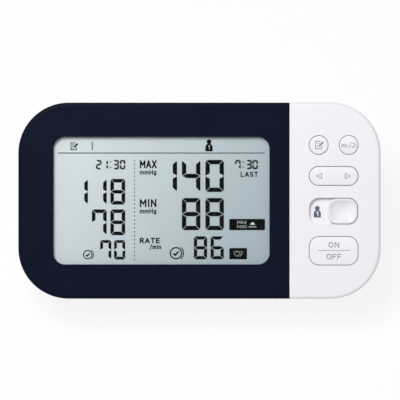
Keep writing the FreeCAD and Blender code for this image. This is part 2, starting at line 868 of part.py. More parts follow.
def make_front_case():
    body = face_body("front_case")
    skirt = size.panel_skirt + size.panel_gap
    cut = SEAM_X + size.seam_gap.half
    pad(body, draw_face(sketch_at(body, "rim", z=-size.rim_depth), ZERO), size.rim_depth - skirt)
    pad(body, draw_face(sketch_at(body, "plug", z=-skirt), DECK_TOP), skirt - DECK_TOP)
    pad(body, draw_end(sketch_at(body, "control_side", z=-skirt), cut, ZERO, 1), skirt)
    seam = cut.value + NEAR
    soften(body, size.edge_round, lambda edge: level(edge, ZERO) and edge.BoundBox.XMax > seam)
    inner = size.wall + DECK_TOP
    lower = draw_face(sketch_at(body, "lower_hollow", z=-size.rim_depth), size.wall)
    pocket(body, lower, size.rim_depth - size.cavity_step, up=True)
    upper = draw_face(sketch_at(body, "upper_hollow", z=-size.cavity_step), inner)
    pocket(body, upper, size.cavity_step - DECK_UNDERSIDE, up=True)
    side = draw_end(sketch_at(body, "control_hollow", z=-DECK_UNDERSIDE), SEAM_X + size.wall, inner, 1)
    pocket(body, side, DECK_UNDERSIDE - size.control_plate, up=True)
    lip = draw_face(sketch_at(body, "lip", z=-size.rim_depth), size.lip_wall)
    pocket(body, lip, size.lip_height + size.lip_gap, up=True)
    soften(body, size.parting_bevel, outer_parting_edge(body, -size.rim_depth), "Chamfer")
    margin = size.window_flange + size.window_flange_gap
    opening = sketch_at(body, "display_opening", WINDOW_X)
    width, height = size.window_width + margin.twice, size.window_height + margin.twice
    draw_rounded(opening, width, height, size.window_corner + margin)
    pocket(body, opening, DECK_UNDERSIDE + size.overrun)
    add_switch_tub(body)
    cut_key_holes(body)
    ease_holes(body)
    add_rocker_ears(body)
    add_front_posts(body)
    return body


def ease_holes(body):
    """Ease the rims of the openings on the control side."""
    middle = (size.round_key_y + size.start_y).half
    reach_x = size.key_width.half + size.overrun
    reach_y = (size.round_key_y - size.start_y).half + size.start_height
    soften(
        body,
        size.hole_edge,
        lambda edge: level(edge, ZERO) and within(edge, KEY_X, middle, reach_x, reach_y),
        "Chamfer",
    )


def outer_parting_edge(body, height):
    """Edges of the outer outline at the parting height."""
    reach = (size.face_width.half - size.face_corner).value
    outer = max(edge.BoundBox.XMax for edge in body.Tip.Shape.Edges if level(edge, height))

    def chosen(edge):
        if not level(edge, height):
            return False
        spot = edge.CenterOfMass
        corner = abs(spot.x) > reach + NEAR
        on_side = abs(abs(spot.x) - outer) < NEAR
        on_end = abs(abs(spot.y) - size.face_height.half.value) < NEAR
        middle = Vector(math.copysign(reach, spot.x), math.copysign(corner_y, spot.y), height.value)
        on_corner = corner and abs(edge.Vertexes[0].Point.distanceToPoint(middle) - radius) < NEAR
        return on_side or on_end or on_corner

    corner_y = (size.face_height.half - size.face_corner).value
    radius = size.face_corner.value
    return chosen


def make_display_panel():
    body = face_body("display_panel")
    cut = SEAM_X - size.seam_gap.half
    pad(body, draw_end(sketch_at(body, "plate", z=-size.panel_skirt), cut, ZERO, -1), size.panel_skirt)
    seam = cut.value - NEAR
    soften(body, size.edge_round, lambda edge: level(edge, ZERO) and edge.BoundBox.XMin < seam)
    hollow = sketch_at(body, "hollow", z=-size.panel_skirt)
    draw_end(hollow, SEAM_X + size.overrun, size.panel_plate, -1)
    pocket(body, hollow, size.panel_skirt - size.panel_plate, up=True)
    window = sketch_at(body, "window", WINDOW_X, z=size.overrun)
    draw_rounded(window, size.window_width, size.window_height, size.window_corner)
    pocket(body, window, size.panel_plate + size.overrun.twice)
    reach_x = size.window_width.half + size.overrun
    reach_y = size.window_height.half + size.overrun
    soften(
        body,
        size.panel_edge,
        lambda edge: level(edge, ZERO) and within(edge, WINDOW_X, ZERO, reach_x, reach_y),
        "Chamfer",
    )
    return body


def make_display_window():
    body = face_body("display_window")
    under = size.panel_plate + size.window_flange_plate
    flange = sketch_at(body, "flange", WINDOW_X, z=-under)
    width = size.window_width + size.window_flange.twice
    height = size.window_height + size.window_flange.twice
    draw_rounded(flange, width, height, size.window_corner + size.window_flange)
    pad(body, flange, size.window_flange_plate)
    lens = sketch_at(body, "lens", WINDOW_X, z=-size.panel_plate)
    gap = size.window_gap
    width, height = size.window_width - gap.twice, size.window_height - gap.twice
    draw_rounded(lens, width, height, size.window_corner - gap)
    return pad(body, lens, size.panel_plate - size.window_sink)


def make_window_gasket():
    body = face_body("window_gasket")
    frame = sketch_at(body, "frame", WINDOW_X, z=-GLASS_TOP)
    draw_rounded(frame, GLASS_WIDTH, GLASS_HEIGHT, size.window_corner)
    margin = size.gasket_margin.twice
    draw_rounded(frame, size.window_width + margin, size.window_height + margin, size.window_corner)
    return pad(body, frame, size.gasket_plate)


def make_lcd_glass():
    body = face_body("lcd_glass")
    rear = sketch_at(body, "rear_glass", WINDOW_X, z=-(GLASS_TOP + size.glass_plate))
    pad(body, draw_box(rear, GLASS_WIDTH, GLASS_HEIGHT), size.glass_plate.half)
    front = sketch_at(body, "front_glass", WINDOW_X, z=-(GLASS_TOP + size.glass_plate.half))
    draw_box(front, GLASS_WIDTH, GLASS_HEIGHT - size.glass_step.twice)
    return pad(body, front, size.glass_plate.half)


def strip_reach():
    return GLASS_HEIGHT.half - size.strip_inset


def make_lcd_holder():
    body = face_body("lcd_holder")
    ledge_top = GLASS_TOP + size.glass_plate
    top = DECK_UNDERSIDE + size.holder_gap
    width = GLASS_WIDTH + (size.holder_gap + size.holder_wall).twice
    height = GLASS_HEIGHT + (size.holder_gap + size.holder_wall).twice
    frame = sketch_at(body, "frame", WINDOW_X, z=-size.board_depth)
    pad(body, draw_rounded(frame, width, height, size.holder_wall), size.board_depth - top)
    seat = sketch_at(body, "seat", WINDOW_X, z=-ledge_top)
    draw_box(seat, GLASS_WIDTH + size.holder_gap.twice, GLASS_HEIGHT + size.holder_gap.twice)
    pocket(body, seat, ledge_top - top + size.overrun, up=True)
    hole = sketch_at(body, "hole", WINDOW_X, z=-ledge_top)
    draw_box(hole, GLASS_WIDTH - size.holder_ledge.twice, GLASS_HEIGHT - size.holder_ledge.twice)
    pocket(body, hole, size.board_depth)
    for side in SIDES:
        slot = sketch_at(body, "strip_slot", WINDOW_X, side * strip_reach(), -ledge_top)
        gap = size.strip_gap.twice
        draw_box(slot, GLASS_WIDTH - size.strip_end.twice + gap, size.strip_width + gap)
        pocket(body, slot, size.board_depth)
    return body


def make_contact_strips():
    body = face_body("contact_strips")
    height = size.board_depth - GLASS_TOP - size.glass_plate
    for side in SIDES:
        strip = sketch_at(body, "strip", WINDOW_X, side * strip_reach(), -size.board_depth)
        draw_box(strip, GLASS_WIDTH - size.strip_end.twice, size.strip_width)
        pad(body, strip, height)
    return body


def make_circuit_board():
    body = face_body("circuit_board")
    width = size.face_width - size.board_left_inset - size.board_right_inset
    height = size.face_height - size.board_top_inset - size.board_low_inset
    x = (size.board_left_inset - size.board_right_inset).half
    y = (size.board_low_inset - size.board_top_inset).half
    plate = sketch_at(body, "plate", x, y, -BOARD_UNDERSIDE)
    pad(body, draw_rounded(plate, width, height, size.board_corner), size.board_plate)
    for side in SIDES:
        notch = sketch_at(body, "notch", side * REAR_POST_X, size.rear_post_y, -size.board_depth)
        pocket(body, draw_circle(notch, size.post_radius + size.board_notch_gap), size.board_plate)
    for x, y in board_screw_spots():
        hole = sketch_at(body, "screw_hole", x, y, -size.board_depth)
        pocket(body, draw_circle(hole, size.board_screw_hole), size.board_plate)
    return body


def add_screw(body, x, y, seat, head, head_plate, shank, length):
    """A screw that points out of the face, its head below the seat."""
    pad(body, draw_circle(sketch_at(body, "head", x, y, -seat), head), head_plate, back=True)
    pad(body, draw_circle(sketch_at(body, "shank", x, y, -seat), shank), length)


def make_circuit_board_screws():
    body = face_body("circuit_board_screws")
    for x, y in board_screw_spots():
        add_screw(
            body, x, y, BOARD_UNDERSIDE,
            size.board_screw_head, size.board_screw_head_plate, size.board_screw, size.board_screw_length,
        )
    return body


def make_case_screws():
    body = face_body("case_screws")
    for x, y in post_spots():
        add_screw(
            body, x, y, size.rim_depth + size.post_web,
            size.screw_head, size.screw_head_plate, size.screw_radius, size.post_web + size.screw_bite,
        )
    return body


def rocker_leg_spots():
    return [(KEY_X + side * size.rocker_leg_x, size.rocker_y) for side in SIDES]


def make_tact_switches():
    body = face_body("tact_switches")
    spots = [(MEMORY_X, size.round_key_y), (CONNECTION_X, size.round_key_y), (KEY_X, size.start_y)]
    opening = size.plunger_side + size.plunger_gap.twice
    for x, y in spots + rocker_leg_spots():
        block = sketch_at(body, "housing", x, y, -size.board_depth)
        pad(body, draw_box(block, size.tact_side, size.tact_side), size.tact_height)
        well = sketch_at(body, "well", x, y, -TACT_TOP)
        pocket(body, draw_box(well, opening, opening), size.plunger_well)
    return body


def make_plungers(label, spots):
    body = face_body(label)
    for x, y in spots:
        rod = sketch_at(body, "rod", x, y, -(TACT_TOP + size.plunger_sunk))
        draw_box(rod, size.plunger_side, size.plunger_side)
        pad(body, rod, size.plunger_sunk + size.plunger_rise)
    return body


def make_round_key(label, x):
    """A round cap with a flange below the face and a stem that stands on its switch."""
    body = face_body(label)
    flange_top = size.control_plate + size.key_flange_gap
    foot = flange_top + size.key_flange_plate
    spot = (x, size.round_key_y)
    cap = draw_circle(sketch_at(body, "cap", *spot, -foot), size.round_key - size.key_gap)
    pad(body, cap, foot + size.key_rise)
    soften(body, size.key_edge, flat_edges(size.key_rise), "Chamfer")
    flange = draw_circle(sketch_at(body, "flange", *spot, -foot), size.round_key + size.key_flange)
    pad(body, flange, size.key_flange_plate)
    stem = draw_circle(sketch_at(body, "stem", *spot, -STEM_END), size.key_stem)
    return pad(body, stem, STEM_END - foot)


def make_start_stop_button():
    body = face_body("start_stop_button")
    flange_top = size.control_plate + size.key_flange_gap
    foot = flange_top + size.key_flange_plate
    spot = (KEY_X, size.start_y)
    gap, reach = size.key_gap, size.key_flange
    cap = sketch_at(body, "cap", *spot, -foot)
    draw_rounded(cap, size.key_width - gap.twice, size.start_height - gap.twice, size.start_corner - gap)
    pad(body, cap, foot + size.key_rise)
    soften(body, size.key_edge, flat_edges(size.key_rise), "Chamfer")
    flange = sketch_at(body, "flange", *spot, -foot)
    width, height = size.key_width + reach.twice, size.start_height + reach.twice
    draw_rounded(flange, width, height, size.start_corner + reach)
    pad(body, flange, size.key_flange_plate)
    stem = draw_circle(sketch_at(body, "stem", *spot, -STEM_END), size.key_stem)
    return pad(body, stem, STEM_END - foot)


def make_page_rocker():
    """A bar that tips on a pin, with a leg over the switch at each end."""
    body = face_body("page_rocker")
    gap = size.key_gap.twice
    height = size.rocker_height - gap
    bar = sketch_at(body, "bar", KEY_X, size.rocker_y, -size.rocker_plate)
    pad(body, draw_pill(bar, size.key_width - gap, height), size.rocker_plate + size.key_rise)
    soften(body, size.key_edge, flat_edges(size.key_rise), "Chamfer")
    lug = sketch_at(body, "lug", KEY_X, size.rocker_y, -size.pivot_depth)
    pad(body, draw_box(lug, size.pivot_lug.twice, height), size.pivot_depth - size.rocker_plate)
    end = size.rocker_y + height.half
    barrel = sketch_at(body, "barrel", KEY_X, end, -size.pivot_depth, "XZ_Plane")
    pad(body, draw_circle(barrel, size.pivot_lug), height)
    bore = sketch_at(body, "bore", KEY_X, end, -size.pivot_depth, "XZ_Plane")
    pocket(body, draw_circle(bore, size.pin_radius + size.pin_gap), height, up=True)
    for x, y in rocker_leg_spots():
        foot = STEM_END - size.rocker_leg_gap
        leg = draw_circle(sketch_at(body, "leg", x, y, -foot), size.rocker_leg)
        pad(body, leg, foot - size.rocker_plate)
    return body


def make_rocker_pin():
    body = face_body("rocker_pin")
    length = size.rocker_height + (size.ear_gap + size.ear_plate).twice
    end = size.rocker_y + length.half
    rod = sketch_at(body, "rod", KEY_X, end, -size.pivot_depth, "XZ_Plane")
    return pad(body, draw_circle(rod, size.pin_radius), length)


def make_user_switch_knob():
    """Slide knob with a thumb dish, a tongue along each long side and a pocket for its magnet."""
    body = face_body("user_switch_knob")
    foot = size.switch_depth - size.knob_floor_gap
    height = size.switch_height - size.knob_gap.twice
    corner = size.switch_corner - size.knob_gap
    block = sketch_at(body, "block", KNOB_X, size.switch_y, -foot)
    pad(body, draw_rounded(block, size.knob_width, height, corner), foot + size.knob_rise)
    tongue = sketch_at(body, "tongue", KNOB_X, size.switch_y, -foot)
    reach = size.switch_height + (size.tongue_reach - size.tongue_gap).twice
    pad(body, draw_box(tongue, size.tongue_length, reach), size.tongue_plate)
    dish = sketch_at(body, "dish", KNOB_X, size.switch_y, size.knob_rise + size.overrun)
    inset = size.dish_margin
    draw_rounded(dish, size.knob_width - inset.twice, height - inset.twice, corner - inset)
    pocket(body, dish, size.dish_depth + size.overrun)
    soften(body, size.dish_slope, flat_edges(size.knob_rise - size.dish_depth), "Chamfer")
    soften(body, size.knob_edge, flat_edges(size.knob_rise), "Chamfer")
    hole = sketch_at(body, "magnet_hole", KNOB_X, size.switch_y, -foot)
    draw_circle(hole, size.magnet_radius + size.magnet_gap)
    return pocket(body, hole, size.magnet_plate + size.magnet_gap, up=True)


def make_user_switch_magnet():
    body = face_body("user_switch_magnet")
    foot = size.switch_depth - size.knob_floor_gap
    disc = draw_circle(sketch_at(body, "disc", KNOB_X, size.switch_y, -foot), size.magnet_radius)
    return pad(body, disc, size.magnet_plate)


def make_hall_sensors():
    """Two field sensors on legs, one below each end of the knob's travel."""
    body = face_body("hall_sensors")
    top = TUB_UNDERSIDE + size.sensor_gap
    foot = top + size.sensor_height
    for x in (KNOB_X, KNOB_X - KNOB_TRAVEL):
        block = sketch_at(body, "block", x, size.switch_y, -foot)
        pad(body, draw_box(block, size.sensor_width, size.sensor_depth), size.sensor_height)
        for step in (-1, 0, 1):
            spot = (x + step * size.sensor_leg_pitch, size.switch_y, -size.board_depth)
            leg = draw_box(sketch_at(body, "leg", *spot), size.sensor_leg, size.sensor_leg)
            pad(body, leg, size.board_depth - foot)
    return body


def make_pressure_sensor():
    body = face_body("pressure_sensor")
    block = sketch_at(body, "block", BRANCH_X, PRESSURE_Y, -BOARD_UNDERSIDE)
    pad(body, draw_box(block, size.pressure_side, size.pressure_side), size.pressure_height, back=True)
    foot = BOARD_UNDERSIDE + size.pressure_height
    nipple = sketch_at(body, "nipple", BRANCH_X, PRESSURE_Y, -foot)
    pad(body, draw_circle(nipple, size.nipple_radius), size.nipple_length, back=True)
    bore = sketch_at(body, "bore", BRANCH_X, PRESSURE_Y, -(foot + size.nipple_length))
    return pocket(body, draw_circle(bore, size.nipple_bore), size.nipple_length, up=True)


def make_buzzer():
    body = face_body("buzzer")
    can = sketch_at(body, "can", size.buzzer_x, size.buzzer_y, -BOARD_UNDERSIDE)
    pad(body, draw_circle(can, size.buzzer_radius), size.buzzer_height, back=True)
    foot = BOARD_UNDERSIDE + size.buzzer_height
    port = draw_circle(sketch_at(body, "port", size.buzzer_x, size.buzzer_y, -foot), size.buzzer_port)
    return pocket(body, port, size.buzzer_height.half, up=True)


def make_block_below_board(label, x, y, width, length, height):
    body = face_body(label)
    block = sketch_at(body, "block", x, y, -BOARD_UNDERSIDE)
    return pad(body, draw_box(block, width, length), height, back=True)


def make_capacitors():
    body = face_body("capacitors")
    for step in (0, 1):
        x = SEAM_X + size.capacitor_inset + step * size.capacitor_pitch
        can = sketch_at(body, "can", x, size.capacitor_y, -BOARD_UNDERSIDE)
        pad(body, draw_circle(can, size.capacitor_radius), size.capacitor_height, back=True)
    return body


def side_sketch(body, name, y):
    """A sketch of an upright body across the slope: its y runs out of the face, its normal down the slope."""
    sketch = attach(body, name, "XY_Plane")
    place = placement_text(*out_of_face(0, y, 0), (1, 0, 0), size.tilt + SQUARE)
    sketch.setExpression("AttachmentOffset", place)
    return sketch


def make_back_form(body, inset, height, top):
    """The back of the housing: flat drafted walls with round corners, level at a height above the table."""
    reach = size.face_height.half - inset + (size.rim_depth - top) * tangent(size.end_draft)
    x, front, front_top = out_of_face(0, -reach, -top)
    x, rear, rear_top = out_of_face(0, reach, -top)
    front_low = front + (front_top - height) * tangent(size.tilt + size.end_draft)
    rear_low = rear + (rear_top - height) * tangent(size.tilt - size.end_draft)
    profile = sketch_at(body, "profile", -size.face_width, role="YZ_Plane")
    draw_outline(profile, [(front_low, height), (rear_low, height), (rear, rear_top), (front, front_top)])
    pad(body, profile, size.face_width.twice)
    high, deep = top - size.overrun, top + BACK_REACH
    for side in SIDES:
        near, far = [
            side * (HALF_WIDTH - inset - (depth - size.rim_depth) * tangent(size.side_draft))
            for depth in (high, deep)
        ]
        outer = side * (size.face_width + size.overrun)
        cut = side_sketch(body, "side_cut", -size.face_height)
        draw_outline(cut, [(near, -high), (outer, -high), (outer, -deep), (far, -deep)])
        pocket(body, cut, size.face_height.twice)
    return soften(body, size.face_corner - inset, slanting)


def slanting(edge):
    """True for an edge that neither lies flat nor keeps its distance from the middle plane."""
    box = edge.BoundBox
    return box.XLength > NEAR and box.ZLength > NEAR


def keep_posts(core):
    """Leave material for the four posts that take the closing screws."""
    for x, y in post_spots():
        sketch = sloping_sketch(core, "post", x, y, size.overrun - size.rim_depth)
        pocket(core, draw_circle(sketch, size.post_radius), BACK_REACH)


def keep_bay(core):
    """Leave material for the block that holds the battery bay."""
    front = BAY_FRONT - size.bay_front_wall
    rear = BAY_REAR + size.bay_wall
    block = sketch_at(core, "bay_block", size.bay_x, (front + rear).half, BAY_TOP + size.bay_roof)
    draw_box(block, BAY_WIDTH + size.bay_wall.twice, rear - front)
    pocket(core, block, BAY_TOP + size.bay_roof)


def clamp_spots():
    """Places of the two screws that hold the pump's clamp."""
    return [(CUSHION_MIDDLE, PUMP_Y + side * CLAMP_SCREW_Y) for side in SIDES]


def keep_cradles(core):
    """Leave material for the pump's saddle, the valve's rim and the bosses of both sockets."""
    for x in (CUSHION_X + size.saddle_rib.half, CUSHION_X + size.cushion_length - size.saddle_rib.half):
        rib = sketch_at(core, "saddle", x, PUMP_Y, PUMP_Z)
        pocket(core, draw_box(rib, size.saddle_rib, SADDLE_HALF.twice), PUMP_Z)
    for x, y in clamp_spots():
        boss = sketch_at(core, "clamp_boss", x, y, PUMP_Z)
        pocket(core, draw_circle(boss, size.clamp_boss), PUMP_Z)
    rim = sketch_at(core, "valve_rim", BRANCH_X, JACK_Y, FLOOR_TOP + size.valve_rim_height)
    gap, thick = size.valve_gap.twice, (size.valve_gap + size.valve_rim).twice
    draw_box(rim, size.valve_width + thick, size.valve_length + thick)
    draw_box(rim, size.valve_width + gap, size.valve_length + gap)
    pocket(core, rim, size.valve_rim_height)
    boss = sketch_at(core, "jack_boss", JACK_SEAT, JACK_Y, JACK_Z, "YZ_Plane")
    pocket(core, draw_circle(boss, size.jack_boss), size.face_width)
    boss = sketch_at(core, "mains_boss", MAINS_X, MAINS_SEAT, size.mains_z, "XZ_Plane")
    pocket(core, draw_circle(boss, size.mains_boss), size.face_width)


def make_core():
    """The hollow of the bottom case, as a form of its own that is taken away."""
    core = new_body("case_hollow")
    make_back_form(core, size.wall, FLOOR_TOP, size.rim_depth - size.overrun)
    keep_posts(core)
    keep_bay(core)
    keep_cradles(core)
    return core


def cut_bay(body):
    """Opening for the battery cover, the bay above it and the pockets for the cover's tabs."""
    below = size.base_gap - size.overrun
    seat = sketch_at(body, "cover_opening", size.bay_x, COVER_Y, below)
    draw_rounded(seat, COVER_WIDTH, COVER_LENGTH, size.cover_corner)
    pocket(body, seat, size.cover_seat + size.overrun, up=True)
    bay = sketch_at(body, "bay", size.bay_x, (BAY_FRONT + BAY_REAR).half, below)
    draw_box(bay, BAY_WIDTH, BAY_LENGTH)
    pocket(body, bay, BAY_TOP - below, up=True)
    reach = size.tab_reach + size.tab_slot_gap
    length = reach + size.cover_margin_y + size.overrun
    middle = COVER_FRONT - reach + length.half
    for side in SIDES:
        x = size.bay_x + side * size.tab_x
        slot = sketch_at(body, "tab_slot", x, middle, size.base_gap + size.cover_seat)
        draw_box(slot, size.tab_width + size.tab_slot_gap.twice, length)
        pocket(body, slot, size.tab_slot_height, up=True)
    finger = sketch_at(body, "finger_scoop", size.bay_x, COVER_REAR + size.finger_length.half, below)
    draw_box(finger, size.finger_width, size.finger_length + size.overrun)
    pocket(body, finger, size.finger_depth + size.overrun, up=True)


def cut_screw_wells(body):
    """Wells from below, with a web at the parting that the screw heads pull on."""
    for x, y in post_spots():
        well = sloping_sketch(body, "well", x, y, -(size.rim_depth + size.post_web))
        pocket(body, draw_circle(well, size.well_radius), BACK_REACH)
        hole = sloping_sketch(body, "screw_hole", x, y, size.overrun - size.rim_depth)
        draw_circle(hole, size.screw_radius + size.screw_hole_gap)
        pocket(body, hole, size.post_web + size.overrun.twice)


def cut_cradles(body):
    """Round the saddle, drill the clamp bosses and open the walls for both sockets."""
    saddle = sketch_at(body, "saddle_round", CUSHION_X - size.overrun, PUMP_Y, PUMP_Z, "YZ_Plane")
    draw_circle(saddle, SADDLE_RADIUS + size.saddle_gap)
    pocket(body, saddle, size.cushion_length + size.overrun.twice, up=True)
    for x, y in clamp_spots():
        pilot = sketch_at(body, "clamp_pilot", x, y, PUMP_Z)
        pocket(body, draw_circle(pilot, size.clamp_screw + size.screw_gap), size.clamp_screw_length)
    jack = sketch_at(body, "jack_hole", JACK_SEAT + size.overrun, JACK_Y, JACK_Z, "YZ_Plane")
    pocket(body, draw_circle(jack, size.jack_barrel + size.jack_barrel_gap), size.face_width)
    inside = MAINS_SEAT - size.overrun
    mains = sketch_at(body, "mains_hole", MAINS_X, inside, size.mains_z, "XZ_Plane")
    pocket(body, draw_circle(mains, size.mains_barrel + size.mains_gap), size.face_width)
    recess = sketch_at(body, "mains_recess", MAINS_X, MAINS_FACE, size.mains_z, "XZ_Plane")
    pocket(body, draw_circle(recess, size.mains_recess), size.face_width)


def foot_spots():
    """Places of the feet seen from above."""
    front = front_wall(size.base_gap) + size.front_foot_inset
    rear = rear_wall(size.base_gap) - size.rear_foot_inset
    for side in SIDES:
        yield side * (HALF_WIDTH - size.front_foot_side_inset), front
        yield side * (HALF_WIDTH - size.rear_foot_side_inset), rear


def make_bottom_case():
    body = new_body("bottom_case")
    make_back_form(body, ZERO, size.base_gap, size.rim_depth)
    soften(body, size.base_round, flat_edges(size.base_gap))
    before = bulk(body)
    hollow = body.newObject("PartDesign::Boolean", "hollow")
    hollow.setObjects([make_core()])
    hollow.Type = "Cut"
    settle(body, before, False)
    tongue = sloping_sketch(body, "tongue", z=-size.rim_depth)
    outer = size.lip_wall + size.lip_gap
    draw_face(tongue, outer)
    draw_face(tongue, outer + size.lip_tongue)
    pad(body, tongue, size.lip_height)
    cut_bay(body)
    cut_screw_wells(body)
    cut_cradles(body)
    for x, y in foot_spots():
        recess = sketch_at(body, "foot_recess", x, y, size.base_gap)
        pocket(body, draw_circle(recess, size.foot_radius + size.foot_gap), size.foot_sunk, up=True)
    return body


def make_battery_cover():
    """Cover that swings on two tabs at its front edge and snaps shut with a tongue at its rear."""
    body = new_body("battery_cover")
    gap = size.cover_gap
    plate = sketch_at(body, "plate", size.bay_x, COVER_Y, size.base_gap)
    draw_rounded(plate, COVER_WIDTH - gap.twice, COVER_LENGTH - gap.twice, size.cover_corner - gap)
    pad(body, plate, size.cover_plate)
    front = COVER_FRONT + gap
    hook_low = size.base_gap + size.cover_seat + size.tab_gap
    top = hook_low + size.tab_plate
    plate_top = size.base_gap + size.cover_plate
    for side in SIDES:
        x = size.bay_x + side * size.tab_x
        root = sketch_at(body, "tab_root", x, front + size.tab_root.half, plate_top)
        pad(body, draw_box(root, size.tab_width, size.tab_root), top - plate_top)
        reach = size.tab_reach + gap
        hook = sketch_at(body, "tab_hook", x, front - reach.half, hook_low)
        pad(body, draw_box(hook, size.tab_width, reach), size.tab_plate)
    rear = COVER_REAR - gap
    for side in SIDES:
        x = size.bay_x + side * (size.latch_width + size.latch_slit).half
        slit = sketch_at(body, "latch_slit", x, rear - size.latch_length.half, plate_top)
        pocket(body, draw_box(slit, size.latch_slit, size.latch_length + size.overrun), size.cover_plate)
    for step in (1, 2, 3):
        groove = sketch_at(body, "grip", size.bay_x, rear - step * size.grip_pitch, size.base_gap)
        pocket(body, draw_box(groove, size.grip_width, size.grip_height), size.grip_depth, up=True)
    return body


def cell_rows():
    """X of each cell and the way its positive end points, front or back in turn."""
    for step in range(CELL_COUNT):
        x = size.bay_x + (as_size(step) - as_size(CELL_COUNT - 1).half) * CELL_PITCH
        yield x, -1 if step % 2 == 0 else 1


def make_battery_cells():
    body = new_body("battery_cells")
    for x, way in cell_rows():
        wall = BAY_FRONT if way < 0 else BAY_REAR
        tip = wall - way * (size.contact_plate + size.contact_gap)
        shoulder = tip - way * size.cell_nub
        can = sketch_at(body, "can", x, shoulder, CELL_Z, "XZ_Plane")
        pad(body, draw_circle(can, size.cell_radius), size.cell_length, back=way < 0)
        nub = sketch_at(body, "nub", x, shoulder, CELL_Z, "XZ_Plane")
        pad(body, draw_circle(nub, size.cell_nub_radius), size.cell_nub, back=way > 0)
    return body


def make_battery_plates():
    body = new_body("battery_plates")
    for x, way in cell_rows():
        wall = BAY_FRONT if way < 0 else BAY_REAR
        plate = sketch_at(body, "plate", x, wall, CELL_Z, "XZ_Plane")
        draw_box(plate, size.contact_width, size.contact_height)
        pad(body, plate, size.contact_plate, back=way < 0)
    return body


def make_battery_leaf_contacts():
    """A bent leaf at the negative end of each cell, from the bay's wall to the cell."""
    body = new_body("battery_leaf_contacts")
    low = CELL_Z - size.contact_height.half
    for x, way in cell_rows():
        wall = BAY_REAR if way < 0 else BAY_FRONT
        leaf = sketch_at(body, "leaf", x - size.contact_width.half, wall, low, "YZ_Plane")
        shares = [(way * (size.leaf_depth * out), size.contact_height * up) for out, up in LEAF_SHARES]
        pad(body, draw_outline(leaf, shares), size.contact_width)
    return body


def make_rubber_feet():
    body = new_body("rubber_feet")
    for x, y in foot_spots():
        disc = draw_circle(sketch_at(body, "disc", x, y), size.foot_radius)
        pad(body, disc, size.base_gap + size.foot_sunk)
    return soften(body, size.foot_edge, flat_edges(ZERO), "Chamfer")


def pump_body(label, along):
    """A body whose own Z runs along the pump, from left to right."""
    return turned_body(label, PUMP_X + along, PUMP_Y, PUMP_Z, (0, 1, 0), SQUARE)


def make_pump_head():
    body = pump_body("pump_head", ZERO)
    block = draw_rounded(sketch_at(body, "block"), size.head_side, size.head_side, size.head_round)
    pad(body, block, size.head_length)
    seam = sketch_at(body, "seam", z=size.head_seam_at)
    wide = size.head_side + size.overrun.twice
    draw_box(seam, wide, wide)
    inner = size.head_side - size.head_seam.twice
    draw_rounded(seam, inner, inner, size.head_round - size.head_seam)
    pocket(body, seam, size.head_seam)
    along, up = size.pump_nipple_inset, size.pump_nipple_rise
    side = size.head_side.half
    nipple = sketch_at(body, "nipple", -up, -side, along, "XZ_Plane")
    pad(body, draw_circle(nipple, size.nipple_radius), size.nipple_length)
    bore = sketch_at(body, "bore", -up, -(side + size.nipple_length), along, "XZ_Plane")
    return pocket(body, draw_circle(bore, size.nipple_bore), size.nipple_length)


def make_pump_motor():
    body = pump_body("pump_motor", size.head_length)
    pad(body, draw_circle(sketch_at(body, "can"), size.motor_radius), size.motor_length)
    soften(body, size.motor_edge, flat_edges(size.motor_length), "Chamfer")
    boss = sketch_at(body, "boss", z=size.motor_length)
    pad(body, draw_circle(boss, size.motor_boss), size.motor_boss_length)
    shaft = sketch_at(body, "shaft", z=size.motor_length + size.motor_boss_length)
    return pad(body, draw_circle(shaft, size.motor_shaft), size.motor_shaft_length)


def make_pump_cushion():
    body = pump_body("pump_cushion", size.head_length + size.cushion_start)
    sleeve = draw_circle(sketch_at(body, "sleeve"), SADDLE_RADIUS)
    draw_circle(sleeve, size.motor_radius + size.cushion_gap)
    return pad(body, sleeve, size.cushion_length)


def make_pump_clamp():
    """Half ring over the cushion, with a drilled foot on the boss at each side."""
    start = size.head_length + size.cushion_start + size.clamp_inset
    body = pump_body("pump_clamp", start)
    length = size.cushion_length - size.clamp_inset.twice
    inner = SADDLE_RADIUS + size.saddle_gap
    band = sketch_at(body, "band")
    draw_circle(band, inner + size.clamp_plate)
    draw_circle(band, inner)
    pad(body, band, length)
    foot_reach = CLAMP_SCREW_Y + size.clamp_boss
    feet = sketch_at(body, "feet", -size.clamp_plate.half)
    draw_box(feet, size.clamp_plate, foot_reach.twice)
    pad(body, feet, length)
    below = sketch_at(body, "below", foot_reach)
    pocket(body, draw_box(below, foot_reach.twice, foot_reach.twice + size.overrun), length, up=True)
    clear = draw_circle(sketch_at(body, "clear"), inner)
    pocket(body, clear, length, up=True)
    for side in SIDES:
        hole = sketch_at(body, "hole", ZERO, side * CLAMP_SCREW_Y, length.half, "YZ_Plane")
        draw_circle(hole, size.clamp_screw_hole)
        pocket(body, hole, size.clamp_plate + size.overrun)
    return body


def make_pump_clamp_screws():
    body = new_body("pump_clamp_screws")
    seat = PUMP_Z + size.clamp_plate
    for x, y in clamp_spots():
        head = draw_circle(sketch_at(body, "head", x, y, seat), size.clamp_screw_head)
        pad(body, head, size.clamp_screw_head_plate)
        shank = draw_circle(sketch_at(body, "shank", x, y, seat), size.clamp_screw)
        pad(body, shank, size.clamp_screw_length, back=True)
    return body


